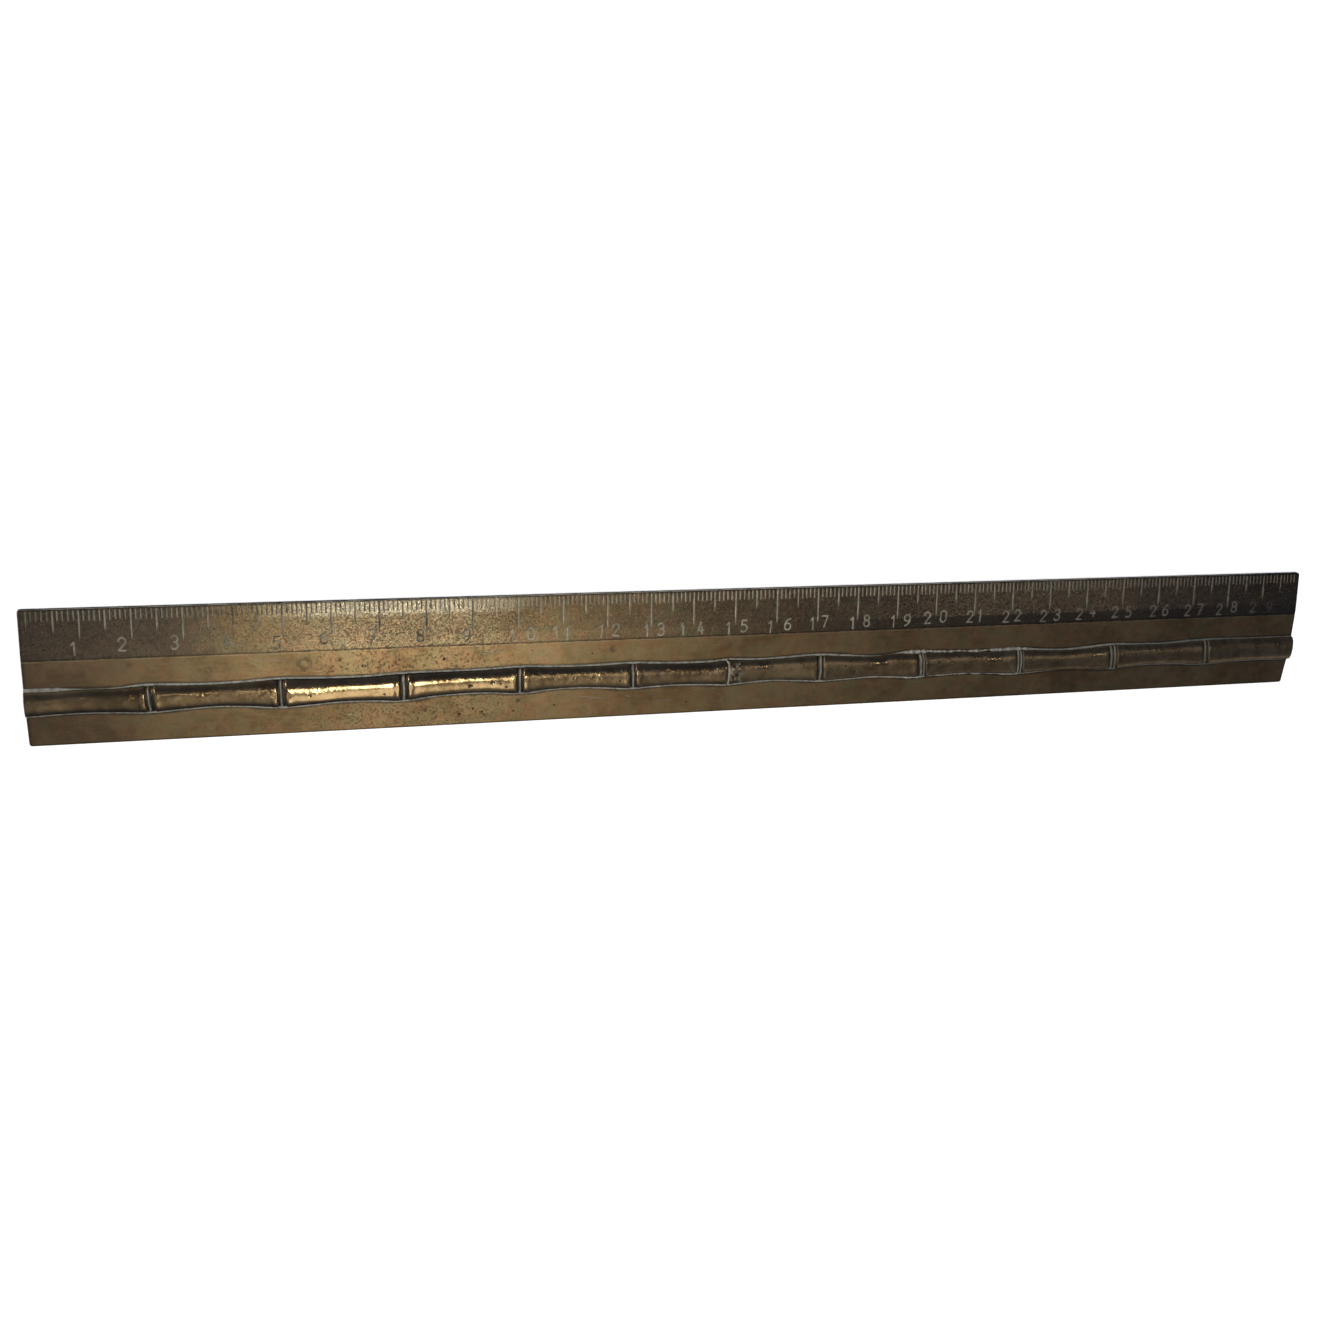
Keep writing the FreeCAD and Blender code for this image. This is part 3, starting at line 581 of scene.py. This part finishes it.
    # Painted shade in the cuts along the brightly lit stretch: the residue there is near black.
    dark_and_shade = tree.product(tree.band(x, 37.0, 94.0, 8.0), tree.smooth(mottle, 0.36, 0.56, 0.95, 0.45))
    chalk = tree.mix(dark_and_shade, chalk, rgb(0.065, 0.058, 0.042))
    colour = tree.mix(filled, colour, chalk)
    metal = tree.less(tree.product(filled, 0.95))
    metal = tree.product(metal, tree.less(tree.product(tree.most(stained, pitted), 0.5)))

    rough = tree.sum(0.305, tree.product(mottle, 0.09), tree.product(in_band, -0.085),
                     tree.product(tarnish, 0.10), tree.product(filled, 0.30),
                     tree.product(tree.most(stained, pitted), 0.15))

    # The grain is finer past the middle.
    quiet = tree.smooth(x, 140.0, 230.0, 1.0, 0.25)
    height = tree.sum(tree.product(grain, tree.sum(0.35, tree.product(in_band, quiet, 0.55))),
                      tree.product(grit, tree.sum(0.15, tree.product(in_band, quiet, 1.0))),
                      tree.product(brushed, 0.5), tree.product(filled, grit, 1.2), scored)
    hollows = tree.sum(tree.product(pitted, 6.0), tree.product(tarnish, 0.8),
                       tree.product(pores, in_band, quiet, 0.35))
    height = tree.math("SUBTRACT", height, hollows)
    normal = tree.bump(height, 0.55, 0.00003)
    tree.surface(colour, metal, rough, normal)
    return material


def rib_material():
    """Hand-polished cast brass, dark in its grooves and pits, with painted shade on its steep flank and far
    foot, and chalky at its nodes.
    """
    material = bpy.data.materials.new("rib_brass")
    tree = Tree(material)
    point, x, reach, _ = ruler_coordinates(tree)
    mottle = tree.noise(point, 0.42, 5.0, 0.66, 0.5)
    cloud = tree.noise(point, 0.12, 3.0, 0.6)
    fine = tree.noise(point, 2.8, 4.0, 0.72)
    specks = tree.noise(point, 1.7, 4.0, 0.8)
    residue, dark = tree.attribute("residue"), tree.attribute("dark")
    patches = tree.sum(tree.product(mottle, 0.6), tree.product(cloud, 0.4))
    colour = tree.mix(tree.smooth(patches, 0.38, 0.62), rgb(0.25, 0.170, 0.080), rgb(0.40, 0.285, 0.145))
    # Smoothest along the third and fourth lengths.
    smoothest = tree.band(x, 51.0, 99.0, 2.0)
    tarnish = tree.product(tree.smooth(specks, 0.54, 0.70), tree.sum(0.5, tree.product(smoothest, -0.35)))
    colour = tree.mix(tarnish, colour, rgb(0.12, 0.075, 0.04))
    # Dark in the grooves and pits, and painted shade on the steep flank and far foot.
    dark_and_shade = tree.product(dark, tree.smooth(mottle, 0.25, 0.5, 0.75, 0.97))
    colour = tree.mix(dark_and_shade, colour, rgb(0.022, 0.025, 0.027))
    chalk = tree.mix(tree.smooth(mottle, 0.4, 0.6), rgb(0.30, 0.32, 0.25), rgb(0.52, 0.53, 0.42))
    # Painted shade on the residue towards the right end.
    chalk = tree.mix(tree.smooth(x, 200.0, 290.0, 0.0, 0.6), chalk, rgb(0.10, 0.105, 0.085))
    filled = tree.product(residue, tree.smooth(fine, 0.30, 0.46, 0.6, 1.0))
    colour = tree.mix(filled, colour, chalk)
    metal = tree.product(tree.less(tree.product(filled, 0.9)), tree.less(tree.product(dark, 0.35)))
    # Past the middle it has gone dull, but for a few rubbed spots.
    polished = smoothest
    for place, spot, *_ in GLINTS:
        rubbed_and_sheen = tree.product(tree.band(x, place - 1.6, place + 1.6, 1.2),
                              tree.band(reach, spot - 0.7, spot + 0.7, 0.4))
        polished = tree.most(polished, rubbed_and_sheen)
    dulled = tree.product(tree.smooth(x, 149.0, 156.0), tree.less(polished))
    rough = tree.sum(0.085, tree.product(dulled, 0.15), tree.product(polished, -0.03),
                     tree.product(mottle, 0.09), tree.product(tarnish, 0.16), tree.product(dark, 0.22),
                     tree.product(filled, 0.40))
    height = tree.sum(tree.product(fine, tree.less(tree.product(polished, 0.85))),
                      tree.product(filled, tree.noise(point, 6.0, 2.0, 0.6), 1.5),
                      tree.product(tarnish, -1.0))
    normal = tree.bump(height, 0.45, 0.00003)
    tree.surface(colour, metal, rough, normal)
    return material


def solder_material():
    """Dull, lumpy solder, dirty in its hollows and slightly green."""
    material = bpy.data.materials.new("solder")
    tree = Tree(material)
    point, x, _, _ = ruler_coordinates(tree)
    mottle = tree.noise(point, 0.9, 4.0, 0.7, 0.4)
    cloud = tree.noise(point, 0.10, 3.0, 0.6)
    fine = tree.noise(point, 3.5, 4.0, 0.75)
    colour = tree.mix(tree.smooth(mottle, 0.34, 0.58), rgb(0.32, 0.315, 0.26), rgb(0.70, 0.68, 0.56))
    green = tree.most(tree.product(tree.smooth(cloud, 0.48, 0.62), 0.5), tree.band(x, 252.0, 286.0, 10.0))
    colour = tree.mix(tree.product(green, 0.45), colour, rgb(0.32, 0.44, 0.36))
    colour = tree.mix(tree.product(tree.smooth(fine, 0.56, 0.70), 0.55), colour, rgb(0.055, 0.052, 0.042))
    # Painted shade on the solder towards the right end and towards the left end.
    colour = tree.mix(tree.smooth(x, 190.0, 295.0, 0.0, 0.65), colour, rgb(0.10, 0.10, 0.088))
    colour = tree.mix(tree.smooth(x, 5.0, 45.0, 0.45, 0.0), colour, rgb(0.12, 0.125, 0.10))
    rough = tree.sum(0.50, tree.product(fine, 0.15))
    normal = tree.bump(tree.sum(fine, tree.product(mottle, 0.6)), 0.7, 0.00005)
    tree.surface(colour, 0.15, rough, normal)
    return material


BRASS = plate_material()
RIB = rib_material()
SOLDER = solder_material()
for material, nodes in ((BRASS, ("ruler_plate",)), (RIB, ("bamboo_rib_left", "bamboo_rib_right")),
                        (SOLDER, ("solder_joint_left", "solder_joint_right", "solder_butt_joint"))):
    for node in nodes:
        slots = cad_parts[node].data.materials
        slots.clear()
        slots.append(material)


# ---------------------------------------------------------------- rods and solder

ARC_POINTS = 54                 # round a rod's section, above its foot
FOOT_POINTS = 4                 # across its foot
WALL = 0.28                     # upright foot of a rod's section
BEAD_POINTS = 11                # over a bead of solder
BEAD_STEP = 0.17                # between two sections of the solder
ROD_RISE = 0.01                 # the rods' feet above the plate
BED_RISE = 0.02                 # the solder bed's top above the plate
BEAD_SINK = 0.012               # the beads' feet below the plate's top
BED_SINK = 0.03                 # the bed's underside below the plate's top
BUTT_ENDS = (16.55, 22.25)      # reach of both ends of the solder between the rods


def bell(distance, half_width, power=2):
    """1 at no distance, falling away past a half width."""
    return np.exp(-(np.abs(distance) / half_width) ** power)


def rounding(distance, radius):
    """How far a rounded rim is set back at a distance from the end face."""
    return radius * (1 - np.sqrt(np.clip(1 - np.clip(1 - distance / radius, 0, 1) ** 2, 0, 1)))


def rod_height(xs, anchors):
    """Height of a rod above its foot: full at each node, lower halfway between two."""
    i = np.clip(np.searchsorted(anchors, xs, side="right") - 1, 0, len(anchors) - 2)
    anchors = np.array(anchors)
    share = (xs - anchors[i]) / (anchors[i + 1] - anchors[i])
    return RIB_TOP - FOOT - 0.15 * (1 - np.cos(2 * np.pi * share)) / 2


def make_rod(name, node, start, stop, upper, lower, nodes, pits, rims, seed):
    """One cast length of bamboo, dented, chattered and pitted by its making and by years of use.

    Rims are the radii of its two rounded end faces, 0 for an end that was sawn flush.
    """
    xs = stations(start, stop, nodes)
    anchors = [start] + [n[0] for n in nodes] + [stop]
    soft, fine, wear = Noise(seed), Noise(seed + 1), Noise(seed + 2)
    turn = np.linspace(0, np.pi, ARC_POINTS)[None, :]
    x = xs[:, None]
    inset = sum(rounding(away, radius) for away, radius in zip((x - start, stop - x), rims) if radius)
    high = upper(x) + 0.32 * UPPER_BEAD(x) + inset
    low = lower(x) - 0.38 * LOWER_BEAD(x) - inset * 0.7
    middle, half = (high + low) / 2, (low - high) / 2
    tall = rod_height(xs, anchors)[:, None] - inset * 0.45
    rise = tall - WALL
    along, up = -np.cos(turn), np.sin(turn)
    reach = middle + half * along
    floor = np.minimum(plate_height(reach) + 0.06, FOOT)
    z = floor + WALL + rise * up + (FOOT - floor) * up
    reach = reach + SKEW(x) * up ** 2
    size = np.hypot(along * rise, up * half)
    normal_reach, normal_z = along * rise / size, up * half / size

    dents = (0.028 * soft(x * 0.16, reach * 0.28, 1)
             + (0.004 + 0.006 * CHATTER(x)) * soft(x * 0.8 + 40, reach * 0.9, 1))
    crumbs = 0.006 * fine(x * 1.5, reach * 1.5, 2) + 0.0045 * fine(x * 2.9 + 9, reach * 2.6, 1)
    chatter = CHATTER(x) * (0.2 + 0.8 * bell(turn - 1.25, 0.42)) * crumbs
    push = dents + chatter
    residue = np.zeros_like(reach)
    dark = np.zeros_like(reach)
    breakup = 0.5 + 0.5 * wear(x * 1.1, reach * 1.1, 3)
    for place, lean, grooves, rings in nodes:
        lag = (place + lean * (reach - middle) / (2 * half) - 0.10 * up
               + 0.06 * soft(x * 0 + place, reach * 0.6, 2))
        offset = x - lag
        push -= 0.05 * bell(offset, 0.75, 4)
        push += 0.045 * bell(np.abs(offset) - 1.45, 0.55)
        for shift, width, depth in grooves:
            push -= depth * bell(offset - shift, width, 3)
            dark = np.maximum(dark, bell(offset - shift, width * 1.25, 4) * (0.7 + 0.3 * breakup))
        for shift, width in rings:
            residue = np.maximum(residue, (bell(offset - shift, width, 4)
                                           * np.clip(0.45 + 0.9 * breakup, 0, 1)))
    for place, spot, radius, depth in pits:
        away = np.hypot(x - place, reach - spot) / radius * (1 + 0.25 * wear(x * 3, reach * 3))
        push -= depth * bell(away, 1.0, 3)
        dark = np.maximum(dark, 0.9 * bell(away, 0.95, 4))
    # Painted shade: the steep flank on the scale's side, and the foot on the far side, darkened.
    flank_shade = 1.25 * bell(turn, 0.42, 2) * FLANK_SHADE(x) * (0.8 + 0.3 * breakup)
    dark = np.maximum(dark, np.clip(flank_shade, 0, 1))
    dark = np.maximum(dark, 0.55 * bell(np.pi - turn, 0.26, 2) * (0.5 + 0.6 * breakup))
    scroll = bell((x - SCROLL_PLACE) / SCROLL_WIDTH, 1.0, 4) * (start > BUTT)
    flaw = fine(x * 0.95 + 3, reach * 1.35, 2)
    push += scroll * 0.07 * flaw
    dark = np.maximum(dark, scroll * np.clip(-1.4 * flaw, 0, 0.9))
    smear = np.clip(1.5 * wear(x * 1.5, reach * 1.9 + 7, 2) - 0.25, 0, 0.75)
    residue = np.maximum(residue, scroll * smear)
    residue *= 1 - 0.35 * dark

    reach = reach + normal_reach * push
    z = np.minimum(z + normal_z * push, RIB_TOP)
    foot_high = plate_height(high) + ROD_RISE
    foot_low = plate_height(low) + ROD_RISE
    share = np.linspace(0, 1, FOOT_POINTS)[None, :]
    under_reach = low + (high - low) * share
    under_z = foot_low + (foot_high - foot_low) * share
    rings = np.stack([np.broadcast_to(x, (len(xs), ARC_POINTS + FOOT_POINTS)),
                      np.hstack([reach, under_reach]), np.hstack([z, under_z])], -1)
    pad = np.zeros((len(xs), FOOT_POINTS))
    masks = {"residue": np.hstack([residue, pad]), "dark": np.hstack([dark, pad])}
    return tube(name, rings, RIB, node, masks)


def bead_profile(center, width, rough, x, noise, shift):
    """Half width, height and reach of a bead of solder at each station."""
    wobble = noise(x * 0.45 + shift, x * 0 + shift, 3)
    lumps = noise(x * 1.3 + 2 * shift, x * 0 + 7 + shift, 2)
    half = 0.5 * (width + 0.08) * (1 + 0.26 * (0.2 + rough) * wobble
                                   + 0.28 * (0.05 + rough) * lumps)
    tall = (0.12 + 0.34 * np.minimum(width, 0.7)) * (1 + 0.35 * (0.12 + rough) * lumps)
    return np.maximum(half, 0.03), np.maximum(tall, 0.03), center + 0.10 * rough * wobble


def make_seam(name, node, start, stop, upper, lower, seed):
    """The solder along both feet of one rod, joined by the thin bed beneath it."""
    xs = np.arange(start, stop + 0.01, BEAD_STEP)
    xs[-1] = stop
    noise = Noise(seed)
    turn = np.linspace(0, np.pi, BEAD_POINTS)[None, :]
    x = xs[:, None]
    rough = BEAD_ROUGH(xs)
    parts = []
    for side, (seam, bead) in enumerate(((upper, UPPER_BEAD), (lower, LOWER_BEAD))):
        side_rough = rough * (1.0 if side == 0 else 0.6)
        half, tall, center = bead_profile(seam(xs), bead(xs), side_rough, xs, noise, 3.0 + 20 * side)
        reach = center[:, None] - half[:, None] * np.cos(turn)
        grit = rough[:, None] * 0.05 * noise(x * 2.6 + 31 * side, reach * 3.4, 2) * np.sin(turn)
        base = plate_height(reach) - BEAD_SINK
        parts.append((reach, base + tall[:, None] * np.sin(turn) ** 0.8 + grit))
    (upper_reach, upper_z), (lower_reach, lower_z) = parts
    bed_share = np.linspace(0.2, 0.8, 3)[None, :]
    bed_reach = upper_reach[:, -1:] + (lower_reach[:, :1] - upper_reach[:, -1:]) * bed_share
    bed_z = plate_height(bed_reach) + BED_RISE
    under_share = np.linspace(0.1, 0.9, 4)[None, :]
    under_reach = lower_reach[:, -1:] + (upper_reach[:, :1] - lower_reach[:, -1:]) * under_share
    under_z = plate_height(under_reach) - BED_SINK
    reach = np.hstack([upper_reach, bed_reach, lower_reach, under_reach])
    z = np.hstack([upper_z, bed_z, lower_z, under_z])
    rings = np.stack([np.broadcast_to(x, reach.shape), reach, z], -1)
    return tube(name, rings, SOLDER, node)


def make_butt(name, node):
    """The solder that fills the gap between the two rods, from one seam to the other."""
    share = np.linspace(0, 1, 90)
    noise = Noise(77)
    high, low = BUTT_ENDS
    middle, half = (high + low) / 2, (low - high) / 2
    turn = np.pi * share
    reach = middle - half * np.cos(turn)
    top = FOOT + WALL - 0.02 + (RIB_TOP - FOOT - WALL - 0.06) * np.sin(turn)
    around = np.linspace(0, 2 * np.pi, 14, endpoint=False)[None, :]
    width = 0.20 * (1 + 0.30 * noise(share * 14, share * 0 + 2, 2))
    place = BUTT + 0.06 * noise(share * 8, share * 0 + 9, 2) - 0.55 * bell(share, 0.13, 2)
    ring_x = place[:, None] + width[:, None] * np.cos(around)
    ring_out = 0.13 * np.sin(around) - 0.06
    ring_reach = reach[:, None] - np.cos(turn)[:, None] * ring_out
    ring_z = np.minimum(top[:, None] + np.sin(turn)[:, None] * ring_out, RIB_TOP)
    ring_z = np.maximum(ring_z, plate_height(ring_reach) + 0.005)
    rings = np.stack([ring_x, ring_reach, ring_z], -1)
    return tube(name, rings, SOLDER, node)


make_rod("rod_left", "bamboo_rib_left", *LEFT_SPAN, UPPER_SEAM_LEFT, LOWER_SEAM_LEFT,
         LEFT_NODES, LEFT_PITS, rims=(0.0, 0.8), seed=11)
make_rod("rod_right", "bamboo_rib_right", *RIGHT_SPAN, UPPER_SEAM_RIGHT, LOWER_SEAM_RIGHT,
         RIGHT_NODES, RIGHT_PITS, rims=(0.22, 0.0), seed=21)
make_seam("seam_left", "solder_joint_left", *LEFT_SPAN, UPPER_SEAM_LEFT, LOWER_SEAM_LEFT, seed=41)
make_seam("seam_right", "solder_joint_right", *RIGHT_SPAN, UPPER_SEAM_RIGHT, LOWER_SEAM_RIGHT, seed=51)
make_butt("seam_butt", "solder_butt_joint")


# ---------------------------------------------------------------- stage

FLOOR_RADIUS = 4.0


def linked(name, mesh):
    piece = bpy.data.objects.new(name, mesh)
    bpy.context.scene.collection.objects.link(piece)
    return piece


def plain_material(name, colour, emission):
    material = bpy.data.materials.new(name)
    tree = Tree(material)
    shader = tree.add("ShaderNodeBsdfPrincipled", Base_Color=colour, Roughness=0.9,
                      Specular_IOR_Level=0.0, Emission_Color=colour, Emission_Strength=emission)
    tree.add("ShaderNodeOutputMaterial", Surface=shader.outputs[0])
    return material


def disc(name, radius, segments=96):
    mesh = bpy.data.meshes.new(name)
    turns = [2 * math.pi * i / segments for i in range(segments)]
    points = [(radius * math.cos(turn), radius * math.sin(turn), 0.0) for turn in turns]
    mesh.from_pydata(points, [], [tuple(range(segments))])
    return linked(name, mesh)


def dome(name, radius, rings=12, around=64):
    """A half sphere, a hair below the floor at its rim."""
    mesh = bpy.data.meshes.new(name)
    points = []
    for ring in range(rings + 1):
        tilt = math.pi / 2 * ring / rings
        for i in range(around):
            turn = 2 * math.pi * i / around
            points.append((radius * math.cos(tilt) * math.cos(turn),
                           radius * math.cos(tilt) * math.sin(turn),
                           radius * math.sin(tilt) - 0.001))
    faces = [(r * around + i, r * around + (i + 1) % around,
              (r + 1) * around + (i + 1) % around, (r + 1) * around + i)
             for r in range(rings) for i in range(around)]
    mesh.from_pydata(points, [], faces)
    return linked(name, mesh)


floor = disc("floor", FLOOR_RADIUS)
floor.location.z = -0.00002
floor.data.materials.append(plain_material("floor_white", rgb(0.86, 0.86, 0.85), 0.0))
floor.visible_glossy = False

backdrop = dome("backdrop", FLOOR_RADIUS)
backdrop.data.materials.append(plain_material("backdrop_white", rgb(0.95, 0.95, 0.945), 1.0))
for way in ("visible_diffuse", "visible_glossy", "visible_transmission", "visible_volume_scatter",
            "visible_shadow"):
    setattr(backdrop, way, False)


def area_light(name, place, aim, width, depth, power, colour):
    data = bpy.data.lights.new(name, "AREA")
    data.shape = "ELLIPSE"
    data.size = width
    data.size_y = depth
    data.energy = power
    data.color = colour
    lamp = linked(name, data)
    lamp.location = place
    lamp.rotation_euler = (Vector(aim) - Vector(place)).to_track_quat("-Z", "Y").to_euler()
    lamp.visible_camera = False


area_light("key", (-0.046, -0.062, 0.40), (-0.074, 0.0, 0.0), 0.055, 0.105, 0.135, (1.0, 0.97, 0.88))
area_light("panel", (-0.044, -0.230, 0.38), (-0.074, 0.0, 0.0), 0.085, 0.25, 0.075, (1.0, 0.96, 0.88))
area_light("crown", (0.064, -0.085, 0.46), (-0.036, 0.0, 0.0), 0.10, 0.12, 0.018, (1.0, 0.96, 0.86))
area_light("side", (-0.42, 0.10, 0.30), (-0.10, 0.0, 0.0), 0.12, 0.12, 0.55, (1.0, 0.96, 0.90))

CAMERA_PLACE = Vector((-0.09994, 0.09541, 0.29957))
# One small lamp for each glint, where the camera sees it mirrored in the rib.
GLINT_AWAY, GLINT_POWER = 0.5, 0.009
for number, (place, spot, tilt, length, deep) in enumerate(GLINTS):
    point = Vector((place - LENGTH / 2, WIDTH / 2 - spot, RIB_TOP - 0.15)) * MM
    facing = Vector((0.0, tilt, 1.0)).normalized()
    way = (point - CAMERA_PLACE).normalized()
    way -= 2 * way.dot(facing) * facing
    area_light("glint_%d" % number, point + way * GLINT_AWAY, point, length, deep, GLINT_POWER,
               (1.0, 0.92, 0.86))

# The floor has its own lamp, so that it stays white however dark the metal's surroundings are.
floor_light = bpy.data.lights.new("floor_light", "SUN")
floor_light.energy = 3.75
floor_light.angle = math.radians(100)
floor_lamp = linked("floor_light", floor_light)
lit = bpy.data.collections.new("floor_only")
lit.objects.link(floor)
floor_lamp.light_linking.receiver_collection = lit
floor_lamp.visible_glossy = False
floor_lamp.visible_camera = False

ROOM_COLOUR = rgb(0.044, 0.058, 0.105)
# Soft sources round the dim room: direction, how tightly each is gathered from side to side and
# from top to bottom, radiance.
GLOWS = (
    ((0.08, -0.52, 0.85), 20.0, 6.0, (0.52, 0.485, 0.43)),
    ((-0.70, 0.62, 0.34), 4.0, 7.0, (0.66, 0.61, 0.54)),
    ((0.72, -0.66, 0.20), 8.0, 26.0, (0.42, 0.39, 0.35)),
    ((-0.98, 0.0, 0.12), 6.0, 12.0, (0.40, 0.38, 0.35)),
    ((0.0, 0.99, 0.04), 6.0, 40.0, (0.32, 0.30, 0.27)),
)


def make_world():
    world = bpy.data.worlds.new("room")
    bpy.context.scene.world = world
    tree = Tree(world)
    way = tree.add("ShaderNodeTexCoord").outputs["Generated"]
    total = ROOM_COLOUR
    for direction, sideways, upright, radiance in GLOWS:
        toward = Vector(direction).normalized()
        side = Vector((0, 0, 1)).cross(toward).normalized()
        over = toward.cross(side)
        aside = tree.math("POWER", tree.vector("DOT_PRODUCT", way, tuple(side)), 2.0)
        above = tree.math("POWER", tree.vector("DOT_PRODUCT", way, tuple(over)), 2.0)
        spread = tree.sum(tree.product(aside, -sideways), tree.product(above, -upright))
        facing = tree.math("GREATER_THAN", tree.vector("DOT_PRODUCT", way, tuple(toward)), 0.0)
        glow = tree.mix(tree.product(tree.math("EXPONENT", spread), facing), rgb(0, 0, 0), rgb(*radiance))
        total = tree.mix(1.0, total, glow, "ADD")
    background = tree.add("ShaderNodeBackground", Color=total, Strength=1.0)
    tree.add("ShaderNodeOutputWorld", Surface=background.outputs[0])


make_world()

# ---------------------------------------------------------------- camera

FORWARD = Vector((0.2553, -0.2978, -0.9199)).normalized()
UP = Vector((0.0403, 0.9538, -0.2977)).normalized()
RIGHT = FORWARD.cross(UP).normalized()
UP = RIGHT.cross(FORWARD)
camera_data = bpy.data.cameras.new("camera")
camera_data.sensor_width = 36.0
camera_data.lens = 38.96
camera_data.clip_start = 0.01
camera_data.clip_end = 100.0
camera = linked("camera", camera_data)
turned = Matrix((RIGHT, UP, -FORWARD)).transposed().to_4x4()
camera.matrix_world = Matrix.Translation(CAMERA_PLACE) @ turned
bpy.context.scene.camera = camera
bpy.context.scene.view_settings.view_transform = "Standard"
